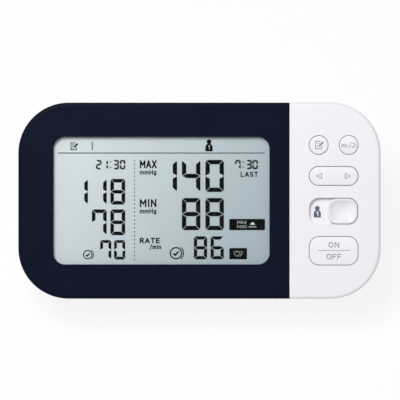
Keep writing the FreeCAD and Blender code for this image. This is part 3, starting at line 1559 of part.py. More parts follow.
def make_release_valve():
    """Coil block in a steel yoke with an upright nipple."""
    body = new_body("release_valve")
    block = sketch_at(body, "block", BRANCH_X, JACK_Y, FLOOR_TOP)
    pad(body, draw_box(block, size.valve_width, size.valve_length), size.valve_height)
    top = FLOOR_TOP + size.valve_height
    for side in SIDES:
        y = JACK_Y + side * size.valve_length.half
        flute = sketch_at(body, "flute", BRANCH_X, y, top - size.valve_yoke)
        draw_box(flute, size.valve_width - size.valve_yoke.twice, size.valve_yoke.twice)
        pocket(body, flute, size.valve_height - size.valve_yoke.twice)
    nipple = draw_circle(sketch_at(body, "nipple", BRANCH_X, JACK_Y, top), size.nipple_radius)
    pad(body, nipple, size.nipple_length)
    bore = sketch_at(body, "bore", BRANCH_X, JACK_Y, top + size.nipple_length)
    return pocket(body, draw_circle(bore, size.nipple_bore), size.nipple_length)


def make_air_jack():
    """Socket for the cuff's plug in the left wall, branching inside to pump, sensor and valve."""
    body = turned_body("air_jack", JACK_FACE, JACK_Y, JACK_Z, (0, 1, 0), SQUARE)
    seat = JACK_SEAT - JACK_FACE
    pad(body, draw_circle(sketch_at(body, "barrel"), size.jack_barrel), seat)
    flange = sketch_at(body, "flange", z=seat)
    pad(body, draw_circle(flange, size.jack_flange), size.jack_flange_plate)
    trunk = sketch_at(body, "trunk", z=seat + size.jack_flange_plate)
    pad(body, draw_circle(trunk, size.jack_body), size.jack_length - seat - size.jack_flange_plate)
    reach = size.jack_body + size.nipple_length
    ends = (("sensor", "YZ_Plane", True), ("valve", "YZ_Plane", False), ("pump", "XZ_Plane", True))
    for name, role, back in ends:
        nipple = sketch_at(body, f"{name}_nipple", ZERO, ZERO, size.branch_depth, role)
        pad(body, draw_circle(nipple, size.nipple_radius), reach, back=back)
    soften(body, size.jack_lead, flat_edges(ZERO), "Chamfer")
    bore = draw_circle(sketch_at(body, "bore"), size.jack_bore)
    pocket(body, bore, size.jack_bore_depth, up=True)
    chamber = draw_circle(sketch_at(body, "chamber"), size.jack_chamber)
    pocket(body, chamber, size.jack_length - size.jack_end_wall, up=True)
    for name, role, back in ends:
        hole = sketch_at(body, f"{name}_bore", ZERO, ZERO, size.branch_depth, role)
        pocket(body, draw_circle(hole, size.nipple_bore), reach, up=not back)
    return body


def draw_tube(sketch):
    draw_circle(sketch, size.tube_radius)
    return draw_circle(sketch, size.nipple_radius + size.tube_gap)


def make_tube(label, start, axis, angle, run, turn, rest):
    """A tube with one bend: a run to the corner, a turn, and the rest beyond the corner."""
    body = turned_body(label, *start, axis, angle)
    bend = size.tube_bend
    before_bend = run - bend * tangent(turn.half)
    end_x, end_y = run + rest * cosine(turn), rest * sine(turn)
    spine = sketch_at(body, "route")
    middle = Part.Circle(Vector(before_bend.value, bend.value), Vector(0, 0, 1), bend.value)
    swing = math.radians(turn.value)
    bow = Part.ArcOfCircle(middle, -math.pi / 2, -math.pi / 2 + swing)
    first = line((0, 0), (before_bend.value, 0))
    last = Part.LineSegment(bow.EndPoint, Vector(end_x.value, end_y.value))
    spine.addGeometry([first, bow, last], False)
    spine.addConstraint(Sketcher.Constraint("Coincident", 0, 1, -1, 1))
    spine.addConstraint(Sketcher.Constraint("Horizontal", 0))
    spine.addConstraint(Sketcher.Constraint("Tangent", 0, 2, 1, 1))
    spine.addConstraint(Sketcher.Constraint("Tangent", 1, 2, 2, 1))
    hold(spine, before_bend, "DistanceX", -1, 1, 0, 2)
    hold(spine, bend, "Radius", 1)
    pin_point(spine, 2, 2, end_x, end_y)
    ring = draw_tube(sketch_at(body, "ring", role="YZ_Plane"))
    pipe = body.newObject("PartDesign::AdditivePipe", f"{label}_pipe")
    pipe.Profile = ring
    pipe.Spine = (spine, ["Edge1", "Edge2", "Edge3"])
    settle(body, 0, True)
    inner = size.nipple_radius.value + size.tube_gap.value
    section = math.pi * (size.tube_radius.value ** 2 - inner ** 2)
    length = before_bend.value + bend.value * swing + last.length()
    if abs(bulk(body) - section * length) > section * size.overrun.value:
        raise ValueError(f"{label}: bulk {bulk(body)} for a length of {length}")
    return body


def make_pump_tube():
    body = new_body("pump_tube")
    ring = draw_tube(sketch_at(body, "ring", BRANCH_X, JACK_Y + size.jack_body, JACK_Z, "XZ_Plane"))
    return pad(body, ring, size.pump_tube_length, back=True)


def make_sensor_tube():
    start = (BRANCH_X, JACK_Y, JACK_Z + size.jack_body)
    run = KNEE_Z - start[2]
    across, below = JACK_Y - FACE_Y, size.face_lift - KNEE_Z
    knee_depth = across * sine(size.tilt) + below * cosine(size.tilt)
    rest = knee_depth - BOARD_UNDERSIDE - size.pressure_height
    return make_tube("sensor_tube", start, (1, 0, 1), as_size(180), run, size.tilt, rest)


def make_valve_tube():
    body = new_body("valve_tube")
    top = FLOOR_TOP + size.valve_height
    ring = draw_tube(sketch_at(body, "ring", BRANCH_X, JACK_Y, top))
    return pad(body, ring, JACK_Z - size.jack_body - top)


def make_dc_jack():
    """Mains socket in the rear wall."""
    body = turned_body("dc_jack", MAINS_X, MAINS_FACE, size.mains_z, (1, 0, 0), SQUARE)
    seat = MAINS_FACE - MAINS_SEAT
    pad(body, draw_circle(sketch_at(body, "barrel"), size.mains_barrel), seat)
    flange = sketch_at(body, "flange", z=seat)
    pad(body, draw_box(flange, size.mains_flange, size.mains_flange), size.mains_flange_plate)
    trunk = sketch_at(body, "trunk", z=seat + size.mains_flange_plate)
    side = size.mains_body
    pad(body, draw_box(trunk, side, side), size.mains_length - seat - size.mains_flange_plate)
    bore = draw_circle(sketch_at(body, "bore"), size.mains_bore)
    return pocket(body, bore, size.mains_bore_depth, up=True)


def make_dc_jack_pin():
    body = turned_body("dc_jack_pin", MAINS_X, MAINS_FACE, size.mains_z, (1, 0, 0), SQUARE)
    rod = sketch_at(body, "rod", z=size.mains_bore_depth - size.mains_pin_length)
    pad(body, draw_circle(rod, size.mains_pin), size.mains_pin_length)
    tip = flat_edges(size.mains_bore_depth - size.mains_pin_length)
    return soften(body, size.mains_pin.half, tip, "Chamfer")


def make_all():
    """Build every piece of the monitor."""
    start_spot = [(KEY_X, size.start_y)]
    return [
        make_front_case(),
        make_bottom_case(),
        make_display_panel(),
        make_display_window(),
        make_window_gasket(),
        make_lcd_glass(),
        make_lcd_holder(),
        make_contact_strips(),
        make_circuit_board(),
        make_circuit_board_screws(),
        make_tact_switches(),
        make_plungers("start_plunger", start_spot),
        make_plungers("memory_plunger", [(MEMORY_X, size.round_key_y)]),
        make_plungers("connection_plunger", [(CONNECTION_X, size.round_key_y)]),
        make_plungers("rocker_plungers", rocker_leg_spots()),
        make_start_stop_button(),
        make_round_key("memory_button", MEMORY_X),
        make_round_key("connection_button", CONNECTION_X),
        make_page_rocker(),
        make_rocker_pin(),
        make_user_switch_knob(),
        make_user_switch_magnet(),
        make_hall_sensors(),
        make_pressure_sensor(),
        make_buzzer(),
        make_block_below_board(
            "microcontroller", size.chip_x, size.chip_y, size.chip_side, size.chip_side, size.chip_height
        ),
        make_capacitors(),
        make_block_below_board(
            "radio_module", SEAM_X + size.radio_inset, size.radio_y,
            size.radio_width, size.radio_length, size.radio_height,
        ),
        make_pump_head(),
        make_pump_motor(),
        make_pump_cushion(),
        make_pump_clamp(),
        make_pump_clamp_screws(),
        make_release_valve(),
        make_air_jack(),
        make_pump_tube(),
        make_sensor_tube(),
        make_valve_tube(),
        make_dc_jack(),
        make_dc_jack_pin(),
        make_battery_cells(),
        make_battery_plates(),
        make_battery_leaf_contacts(),
        make_battery_cover(),
        make_rubber_feet(),
        make_case_screws(),
    ]


def write_all(bodies):
    """Check every object of the document, then write each piece to its own file."""
    doc.recompute()
    for thing in doc.Objects:
        if "Invalid" in thing.State or "Error" in thing.State:
            raise ValueError(f"{thing.Label} is {thing.State}")
    for body in bodies:
        if body.Shape.isNull() or not body.Shape.isValid():
            raise ValueError(f"{body.Label} has no sound shape")
    os.makedirs("parts", exist_ok=True)
    for body in bodies:
        body.Shape.exportStep(f"parts/{body.Label}.step")
        print(body.Label, len(body.Shape.Solids), round(body.Shape.Volume))


write_all(make_all())
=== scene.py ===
"""Looks of a home blood pressure monitor: finishes, display, keys, fasteners, inner parts and stage."""
import json
import math

import bmesh
import bpy
from mathutils import Color, Matrix, Vector
from mathutils.bvhtree import BVHTree


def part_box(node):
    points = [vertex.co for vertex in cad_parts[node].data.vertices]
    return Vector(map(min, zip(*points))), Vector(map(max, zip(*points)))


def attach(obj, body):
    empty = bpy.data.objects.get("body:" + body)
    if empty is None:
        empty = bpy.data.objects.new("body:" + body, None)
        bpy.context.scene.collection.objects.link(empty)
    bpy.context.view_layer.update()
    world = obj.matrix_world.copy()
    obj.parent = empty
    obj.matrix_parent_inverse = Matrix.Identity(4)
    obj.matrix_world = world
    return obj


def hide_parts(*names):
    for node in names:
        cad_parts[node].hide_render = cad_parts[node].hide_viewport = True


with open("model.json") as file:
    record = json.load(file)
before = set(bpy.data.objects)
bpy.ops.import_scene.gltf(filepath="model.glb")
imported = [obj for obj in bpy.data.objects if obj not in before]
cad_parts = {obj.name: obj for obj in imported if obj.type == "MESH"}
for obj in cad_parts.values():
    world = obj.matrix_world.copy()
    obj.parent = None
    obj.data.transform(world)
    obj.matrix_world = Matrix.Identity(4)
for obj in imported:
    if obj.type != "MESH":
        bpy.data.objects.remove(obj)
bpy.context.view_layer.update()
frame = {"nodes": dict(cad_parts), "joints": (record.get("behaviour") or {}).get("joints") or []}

bl_info = {
    "name": "Blood Pressure Monitor Looks",
    "version": (1, 0, 0),
    "blender": (4, 5, 0),
    "location": "3D View > Sidebar > Monitor",
    "description": "Finishes, display, keys, fasteners and stage of a home blood pressure monitor",
    "category": "Object",
}

MM = 0.001
NODES = frame["nodes"]
JOINTS = {joint["name"]: joint for joint in frame["joints"]}
# The record's material slot of each CAD node, which names its finish
NODE_SLOTS = {name: node.material_slots[0].material.name.split(".")[0] for name, node in NODES.items()}

# The sloping face's own directions: right, up the slope and out of it
OUT = -Vector(JOINTS["start_press"]["axis"]).normalized()
UP = Vector(JOINTS["rocker_tip"]["axis"]).normalized()
RIGHT = UP.cross(OUT)


def reach(nodes, direction):
    """How far some nodes reach along a direction, lowest and highest."""
    lengths = [vertex.co.dot(direction) for name in nodes for vertex in NODES[name].data.vertices]
    return min(lengths), max(lengths)


FACE_LEVEL = reach(["display_panel"], OUT)[1]
FACE_MIDDLE = sum(reach(["front_case", "display_panel"], UP)) / 2
FACE_ORIGIN = UP * FACE_MIDDLE + OUT * FACE_LEVEL
FACE = Matrix((RIGHT, UP, OUT)).transposed().to_4x4()
FACE.translation = FACE_ORIGIN

# The photograph's frame, seen straight on to the face
PHOTO_SIDE = 400
PHOTO_FACE_X = 199.45
PHOTO_FACE_Y = 200.65
PIXEL = 0.5269 * MM
CAMERA_DISTANCE = 3000 * MM
SENSOR_WIDTH = 36.0
AXIS_X = (PHOTO_SIDE / 2 - PHOTO_FACE_X) * PIXEL
AXIS_Y = (PHOTO_FACE_Y - PHOTO_SIDE / 2) * PIXEL

# The display's contents, in the photograph's pixels
RULES = (((58.0, 153.05), (265.0, 153.05)), ((92.3, 141.6), (92.3, 150.0)))
RULE_LINE = 1.1
DOTTED_X = 134.5
DOTTED_TOP = 160.5
DOTTED_END = 259.2
DOT_PITCH = 3.96
DOT_RADIUS = 0.66
DOT_SIDES = 10
# characters, right edges, top, bottom, width of a figure and of its bars
READINGS = (
    ("118", (87.9, 106.7, 125.2), 178.9, 204.6, 14.8, 3.6),
    ("78", (106.7, 125.2), 209.4, 235.2, 14.8, 3.6),
    ("70", (111.3, 125.2), 240.1, 259.5, 11.1, 2.85),
    ("140", (177.1, 200.4, 223.9), 159.9, 192.0, 18.5, 4.4),
    ("88", (200.4, 223.9), 198.0, 230.2, 18.5, 4.4),
    ("86", (207.1, 223.8), 236.3, 259.3, 13.2, 3.3),
    ("2130", (101.5, 108.0, 118.9, 125.3), 160.0, 169.4, 5.5, 1.75),
    ("730", (240.7, 251.8, 257.9), 160.0, 169.2, 5.6, 1.75),
)
COLONS = (110.6, 243.4)
COLON_ROWS = (161.9, 167.5)
COLON_HALF = 0.6
COLON_CORNER = 0.15
# words, left, right, top, bottom and stroke
LABELS = (
    ("MAX", 139.8, 156.7, 160.2, 168.2, 1.5),
    ("mmHg", 139.8, 156.4, 170.0, 175.6, 0.95),
    ("MIN", 139.8, 156.4, 199.1, 207.1, 1.5),
    ("mmHg", 139.8, 156.4, 208.9, 214.5, 0.95),
    ("RATE", 139.8, 159.8, 237.8, 243.4, 1.25),
    ("/min", 149.7, 161.0, 244.3, 249.5, 1.0),
    ("LAST", 240.6, 258.0, 171.7, 176.9, 1.05),
)
# left, right, top and bottom of the dark boxes behind the alert and the heart
DARK_BOXES = ((229.3, 265.0, 218.9, 230.2), (229.3, 247.0, 248.0, 259.3))
DARK_BOX_CORNER = 0.9
ALERT_LABELS = (("MAX", 237.4, 246.4, 220.8, 223.9, 0.3), ("MIN", 237.4, 246.4, 225.2, 228.3, 0.3))
ALERT_SPOT = (252.6, 224.1)
HEART_SPOT = (236.9, 253.8)
HEART_SCALE = 0.96
# column, row, radius and stroke
TICK_RINGS = ((176.0, 253.2, 5.6, 1.3), (87.7, 254.7, 4.2, 1.05))
MEMO_SPOT = (74.2, 146.3)
MEMO_SCALE = 0.84
MEMO_LINE = 0.85
PERSON_SPOT = (209.0, 145.5)
PERSON_SCALE = 1.03
# left, right, top and bottom of a person's number about its spot, and its stroke
PERSON_NUMBER = (-0.8, 0.6, -0.2, 4.0, 0.45)

# The control side's signs, in the photograph's pixels
MEMORY_SPOT = (319.2, 145.0)
MEMORY_SCALE = 0.95
MEMORY_LINE = 0.72
CONNECTION_SPOT = (348.2, 145.2)
CONNECTION_LINE = 0.6
LEFT_ARROW_SPOT = (319.3, 176.0)
RIGHT_ARROW_SPOT = (347.6, 176.0)
ARROW_LINE = 0.68
SLOT_PEOPLE = {"1": (317.3, 211.8), "2": (349.6, 211.8)}
SLOT_PERSON_SCALE = 1.0
SLOT_NUMBER = (-1.1, 1.0, -0.6, 4.3, 0.95)
KEY_WORDS = (("ON", 328.6, 339.2, 242.0, 247.6, 0.95), ("OFF", 326.6, 341.2, 253.8, 259.4, 0.95))
KEY_RULE = ((317.6, 250.6), (350.2, 250.6))
KEY_RULE_LINE = 0.6


def from_srgb(red, green, blue):
    """A colour as a screen shows it, in 0 to 255, turned into light."""
    return tuple(Color((red / 255, green / 255, blue / 255)).from_srgb_to_scene_linear())


def colour_property(name, description, default):
    """A colour that a user may change."""
    return bpy.props.FloatVectorProperty(
        name=name, description=description, subtype="COLOR", size=3, min=0, max=1, default=default)


def length_property(name, description, default):
    """A length that a user may change."""
    return bpy.props.FloatProperty(
        name=name, description=description, unit="LENGTH", subtype="DISTANCE", min=0, default=default)


class MonitorCase(bpy.types.PropertyGroup):
    """Colours of the moulded case and its keys, and the softness of its edges."""

    white: colour_property("White", "Shells, keys and battery cover", from_srgb(240, 239, 243))
    navy: colour_property("Navy", "Lacquered display panel", from_srgb(12, 19, 36))
    rubber: colour_property("Rubber", "Feet", from_srgb(60, 61, 64))
    key_print: colour_property("Key print", "Signs on the keys", from_srgb(158, 158, 163))
    pictogram: colour_property("Pictogram", "Person in the user switch", from_srgb(104, 110, 130))
    edge: length_property("Key edge", "Radius of a key's edges", 0.16 * MM)


class MonitorDisplay(bpy.types.PropertyGroup):
    """Colours of the display, and the thickness and gaps of what is printed."""

    ink: colour_property("Ink", "Lit figures", from_srgb(4, 5, 5))
    faint_ink: colour_property("Faint ink", "Thin rules of the display", from_srgb(98, 110, 114))
    # The glass's two colours are painted light and painted shade: lighter at the upper left, toward the
    # lamp, darker at the lower right
    glass_painted_highlight: colour_property("Glass, bright", "Upper left of the display", from_srgb(220, 229, 231))
    glass_painted_shade: colour_property("Glass, dim", "Lower right of the display", from_srgb(163, 178, 186))
    print_height: length_property("Print height", "Thickness of a printed sign", 0.03 * MM)
    bar_gap: length_property("Bar gap", "Gap between the bars of a figure", 0.15 * MM)


class MonitorStage(bpy.types.PropertyGroup):
    """Level of the studio light."""

    sky: bpy.props.FloatProperty(
        name="Sky", description="Even light from all round", subtype="FACTOR", min=0, max=1, default=0.33)
    lamp: bpy.props.FloatProperty(
        name="Lamp", description="Large soft lamp, upper left", unit="POWER", min=0, default=10.75)


def settings(context):
    """The three groups of settings: case, display and stage."""
    scene = context.scene
    return scene.monitor_case, scene.monitor_display, scene.monitor_stage


# Meshes and pieces

WELD = 0.002 * MM
FLAT_ANGLE = math.radians(0.5)
SHARP_ANGLE = math.radians(24)
EDGE_SEGMENTS = 3


def new_object(name, data):
    """A new object in the scene: a piece, a helper, a lamp or the camera."""
    obj = bpy.data.objects.new(name, data)
    bpy.context.scene.collection.objects.link(obj)
    return obj


def discard(obj):
    """Removes a helper object with its mesh."""
    mesh = obj.data
    bpy.data.objects.remove(obj)
    bpy.data.meshes.remove(mesh)


def piece(name, mesh, finish, body, node=None, smooth=False):
    """A finished piece that rides on a body, with its finish, and may stand for a CAD node."""
    obj = new_object(name, mesh)
    mesh.materials.clear()
    mesh.materials.append(finish)
    if smooth:
        mesh.shade_smooth()
        mesh.set_sharp_from_angle(angle=SHARP_ANGLE)
    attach(obj, body)
    if node:
        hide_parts(node)


def mesh_from(bm, name, place=None):
    """A plain mesh from edited geometry, which is freed, moved to a place if one is given."""
    mesh = bpy.data.meshes.new(name)
    bm.to_mesh(mesh)
    bm.free()
    if place:
        mesh.transform(place)
    return mesh


def merged(node):
    """Geometry of a CAD node with its loose triangles joined."""
    bm = bmesh.new()
    bm.from_mesh(NODES[node].data)
    bmesh.ops.remove_doubles(bm, verts=bm.verts, dist=WELD)
    return bm


def turn_outwards(bm):
    """Makes all faces point outwards."""
    bmesh.ops.recalc_face_normals(bm, faces=bm.faces)


def evaluated_mesh(obj):
    """What an object's modifiers make of it, as a plain mesh."""
    depsgraph = bpy.context.evaluated_depsgraph_get()
    return bpy.data.meshes.new_from_object(obj.evaluated_get(depsgraph), depsgraph=depsgraph)


def softened(node, radius):
    """A CAD node's shape with its sharp edges rolled over."""
    bm = merged(node)
    bmesh.ops.dissolve_limit(bm, angle_limit=FLAT_ANGLE, verts=bm.verts, edges=bm.edges)
    helper = new_object(node + "_blank", mesh_from(bm, node + "_blank"))
    helper.data.shade_smooth()
    bevel = helper.modifiers.new("edges", "BEVEL")
    bevel.limit_method = "ANGLE"
    bevel.angle_limit = SHARP_ANGLE
    bevel.width = radius
    bevel.segments = EDGE_SEGMENTS
    bevel.harden_normals = True
    mesh = evaluated_mesh(helper)
    discard(helper)
    return mesh


def islands(node):
    """The corners of each separate solid in a node."""
    bm = merged(node)
    seen = set()
    found = []
    for first in bm.verts:
        if first in seen:
            continue
        seen.add(first)
        todo = [first]
        island = []
        while todo:
            vertex = todo.pop()
            island.append(vertex.co.copy())
            for edge in vertex.link_edges:
                other = edge.other_vert(vertex)
                if other not in seen:
                    seen.add(other)
                    todo.append(other)
        found.append(island)
    bm.free()
    return sorted(found, key=lambda island: tuple(sum(island, Vector()) / len(island)))


def skin(bm, rings, capped=True):
    """Faces from each ring of corners to the next, with both end rings closed unless told not to."""
    for lower, upper in zip(rings, rings[1:]):
        for index in range(len(lower)):
            after = (index + 1) % len(lower)
            bm.faces.new((lower[index], lower[after], upper[after], upper[index]))
    if capped:
        bm.faces.new(rings[0][::-1])
        bm.faces.new(rings[-1])


def stacked(bm, loops):
    """A closed skin over a stack of loops of points."""
    skin(bm, [[bm.verts.new(point) for point in loop] for loop in loops])


def around(radius, sides):
    """Points of a circle round the origin."""
    angles = [math.tau * side / sides for side in range(sides)]
    return [(radius * math.cos(angle), radius * math.sin(angle)) for angle in angles]


def turned(bm, profile, sides):
    """Rings of corners of a lathed profile of (radius, height) pairs."""
    return [[bm.verts.new((x, y, height)) for x, y in around(radius, sides)] for radius, height in profile]


CORNER_STEPS = 12
SIDE_STEPS = 8


def rounded_outline(centre, width, height, corner):
    """Points of a box with round corners, anticlockwise, with points along its straight sides too."""
    points = []
    for quarter in range(4):
        turn = math.radians(90 * quarter)
        right = 1 if quarter in (0, 3) else -1
        top = 1 if quarter in (0, 1) else -1
        middle = Vector((centre.x + right * (width / 2 - corner), centre.y + top * (height / 2 - corner)))
        for step in range(CORNER_STEPS + 1):
            angle = turn + math.radians(90) * step / CORNER_STEPS
            points.append(middle + corner * Vector((math.cos(angle), math.sin(angle))))
    filled = []
    for index, point in enumerate(points):
        filled.append(point)
        if index % (CORNER_STEPS + 1) == CORNER_STEPS:
            after = points[(index + 1) % len(points)]
            filled += [point.lerp(after, step / SIDE_STEPS) for step in range(1, SIDE_STEPS)]
    return filled


# The slide knob

KNOB_CUT = 1.6 * MM
KNOB_TRIM = 0.1 * MM
KNOB_DROP = 0.08 * MM
KNOB_ROLL = 0.42 * MM
KNOB_RIM = 1.1 * MM
KNOB_TILT = 0.15 * MM
SCOOP_DEPTH = 1.5 * MM
SCOOP_LIFT = 0.3 * MM
SCOOP_POWERS = (1.35, 3.4)
SCOOP_STEPS = 18
ROLL_STEPS = 4


def scooped_knob(node):
    """The slide knob: its CAD foot and tongues under a block with rolled edges and a thumb scoop."""
    bm = merged(node)
    bm.transform(FACE.inverted())
    top = max(vertex.co.z for vertex in bm.verts)
    cut = top - KNOB_CUT
    bmesh.ops.bisect_plane(bm, geom=bm.verts[:] + bm.edges[:] + bm.faces[:], dist=WELD,
                           plane_co=(0, 0, cut), plane_no=(0, 0, 1), clear_outer=True)
    rim = [edge for edge in bm.edges if edge.is_boundary]
    corners = [vertex.co.copy() for vertex in {vertex for edge in rim for vertex in edge.verts}]
    bmesh.ops.holes_fill(bm, edges=rim)
    low = Vector(min(point[axis] for point in corners) for axis in range(2))
    high = Vector(max(point[axis] for point in corners) for axis in range(2))
    level_side = [point.x for point in corners if point.y > high.y - WELD]
    corner = (high.x - low.x - max(level_side) + min(level_side)) / 2
    centre = (low + high) / 2 - Vector((0, KNOB_DROP))
    deepest = centre + Vector((0, SCOOP_LIFT))

    def outline(inset):
        width, height = high - low - Vector((2 * inset, 2 * inset))
        return rounded_outline(centre, width, height, corner - inset)

    def up_share(point):
        return (point.y - low.y) / (high.y - low.y)

    def brim(point):
        return top - KNOB_TILT * (1 - up_share(point))

    loops = [[(*point, cut) for point in outline(KNOB_TRIM)]]
    for step in range(ROLL_STEPS + 1):
        angle = math.radians(90) * step / ROLL_STEPS
        inset = KNOB_TRIM + KNOB_ROLL * (1 - math.cos(angle))
        drop = KNOB_ROLL * (1 - math.sin(angle))
        loops.append([(*point, brim(point) - drop) for point in outline(inset)])
    lip = outline(KNOB_RIM)
    floor = top - SCOOP_DEPTH
    low_power, high_power = SCOOP_POWERS
    for step in range(SCOOP_STEPS):
        share = 1 - step / SCOOP_STEPS
        loop = []
        for point in lip:
            power = low_power + (high_power - low_power) * up_share(point)
            loop.append((*deepest.lerp(point, share), floor + (brim(point) - floor) * share ** power))
        loops.append(loop)
    stacked(bm, loops)
    return mesh_from(bm, node + "_cap", FACE)


# Flat printing on the face, drawn in the photograph's pixels

ARC_STEP = math.radians(12)
# A letter's stroke is cut at a greater turn, and a mitre is drawn down to this cosine
SHARP_TURN = math.radians(50)
SHARPEST_MITRE = 0.35
# Shapes that overlap differ a little in height, so that no two of their tops lie in one plane
LAYERS = 8
LAYER_STEP = 0.05


def from_photo(column, row, level):
    """The face's (x, y) at a level below it that the camera sees at a pixel."""
    pixel = PIXEL * (CAMERA_DISTANCE - level) / CAMERA_DISTANCE
    return AXIS_X + (column - PHOTO_SIDE / 2) * pixel, AXIS_Y - (row - PHOTO_SIDE / 2) * pixel


def level_of(node, column, row):
    """How high a node's outer surface lies, against the face, where the camera sees a pixel."""
    bm = merged(node)
    tree = BVHTree.FromBMesh(bm)
    bm.free()
    start = FACE @ Vector((*from_photo(column, row, 0), CAMERA_DISTANCE / 2))
    hit = tree.ray_cast(start, -OUT)[0]
    if hit is None:
        raise RuntimeError(f"{node} has no surface at pixel {column}, {row}")
    return hit.dot(OUT) - FACE_LEVEL


def arc_points(column, row, radius, start, end):
    """Points of an arc in pixels, angles in degrees turning from right to up."""
    first, last = math.radians(start), math.radians(end)
    steps = max(2, math.ceil(abs(last - first) / ARC_STEP))
    angles = [first + (last - first) * step / steps for step in range(steps + 1)]
    return [(column + radius * math.cos(angle), row - radius * math.sin(angle)) for angle in angles]


def circle_points(column, row, radius):
    """Points of a whole circle in pixels."""
    return arc_points(column, row, radius, 0, 360)[:-1]


def offset_line(points, distance, closed):
    """A line beside another one, with mitred corners that reach out only so far."""
    count = len(points)
    moved = []
    for index, (column, row) in enumerate(points):
        here = Vector((column, row))
        ways = []
        if index or closed:
            ways.append((here - Vector(points[index - 1])).normalized())
        if index < count - 1 or closed:
            ways.append((Vector(points[(index + 1) % count]) - here).normalized())
        sides = [Vector((-way.y, way.x)) for way in ways]
        side = sum(sides, Vector((0, 0))).normalized()
        stretch = distance / max(side.dot(sides[0]), SHARPEST_MITRE)
        moved.append((column + side.x * stretch, row + side.y * stretch))
    return moved


class Print:
    """Thin closed shapes at one level, drawn in pixels."""

    def __init__(self, level, height):
        self.bm = bmesh.new()
        self.level = level
        self.height = height
        self.count = 0

    def corners(self, points, raised):
        """New corners of an outline, on the surface or raised above it."""
        layer = self.count % LAYERS
        z = self.level + (self.height * (1 + LAYER_STEP * layer) if raised else 0)
        return [self.bm.verts.new((*from_photo(column, row, self.level), z)) for column, row in points]

    def area(self, points):
        """A filled outline."""
        self.count += 1
        skin(self.bm, [self.corners(points, False), self.corners(points, True)])

    def band(self, outer, inner):
        """A closed ring between two outlines with as many points."""
        self.count += 1
        loops = [self.corners(points, raised) for points, raised in
                 ((outer, False), (outer, True), (inner, True), (inner, False))]
        skin(self.bm, loops + loops[:1], capped=False)

    def stroke(self, points, width, closed=False):
        """A line of even width through some points."""
        left = offset_line(points, width / 2, closed)
        right = offset_line(points, -width / 2, closed)
        if closed:
            self.band(left, right)
        else:
            self.area(left + right[::-1])

    def disc(self, column, row, radius):
        """A filled circle."""
        self.area(circle_points(column, row, radius))

    def box(self, left, right, top, bottom, radius):
        """A filled box with round corners."""
        near, far = left + radius, right - radius
        upper, lower = top + radius, bottom - radius
        points = []
        for quarter, corner in enumerate(((far, upper), (near, upper), (near, lower), (far, lower))):
            points += arc_points(*corner, radius, 90 * quarter, 90 * quarter + 90)
        self.area(points)

    def words(self, text, left, right, top, bottom, line):
        """Plain lettering of even strokes that fills a box."""
        strokes = word_strokes(text, LETTER_SPACE + line / (bottom - top - line))
        xs = [x for points, _ in strokes for x, _ in points]
        ys = [y for points, _ in strokes for _, y in points]
        across = (right - left - line) / max(max(xs) - min(xs), LEAST_WIDTH)
        down = (bottom - top - line) / (max(ys) - min(ys))
        for points, closed in strokes:
            placed = [(left + line / 2 + (x - min(xs)) * across, bottom - line / 2 - (y - min(ys)) * down)
                      for x, y in points]
            if closed:
                self.stroke(placed, line, closed=True)
                continue
            runs = cut_at_corners(lengthened(placed, line / 2))
            for run in runs:
                self.stroke(run, line)
            for run in runs[1:]:
                self.disc(*run[0], line / 2)

    def finished(self, name):
        """The printing as a mesh in its place on the face."""
        turn_outwards(self.bm)
        return mesh_from(self.bm, name, FACE)


# Plain lettering

STEM = ((0, 0), (0, 0.7))
ARCH_FOOT = 0.48
ARCH_MIDDLE = 0.45
ARCH_RISE = 0.24
LETTER_SPACE = 0.15
LEAST_WIDTH = 0.01


def bow(across, up, wide, tall, start, end):
    """Points of an oval arc in a letter, angles in degrees."""
    return [(across + wide * x, up - tall * y) for x, y in arc_points(0, 0, 1, start, end)]


def arch(left, width):
    """The hump of a small letter, and its right leg."""
    half = width / 2
    return [(left, ARCH_FOOT), *bow(left + half, ARCH_MIDDLE, half, ARCH_RISE, 180, 0), (left + width, 0)]


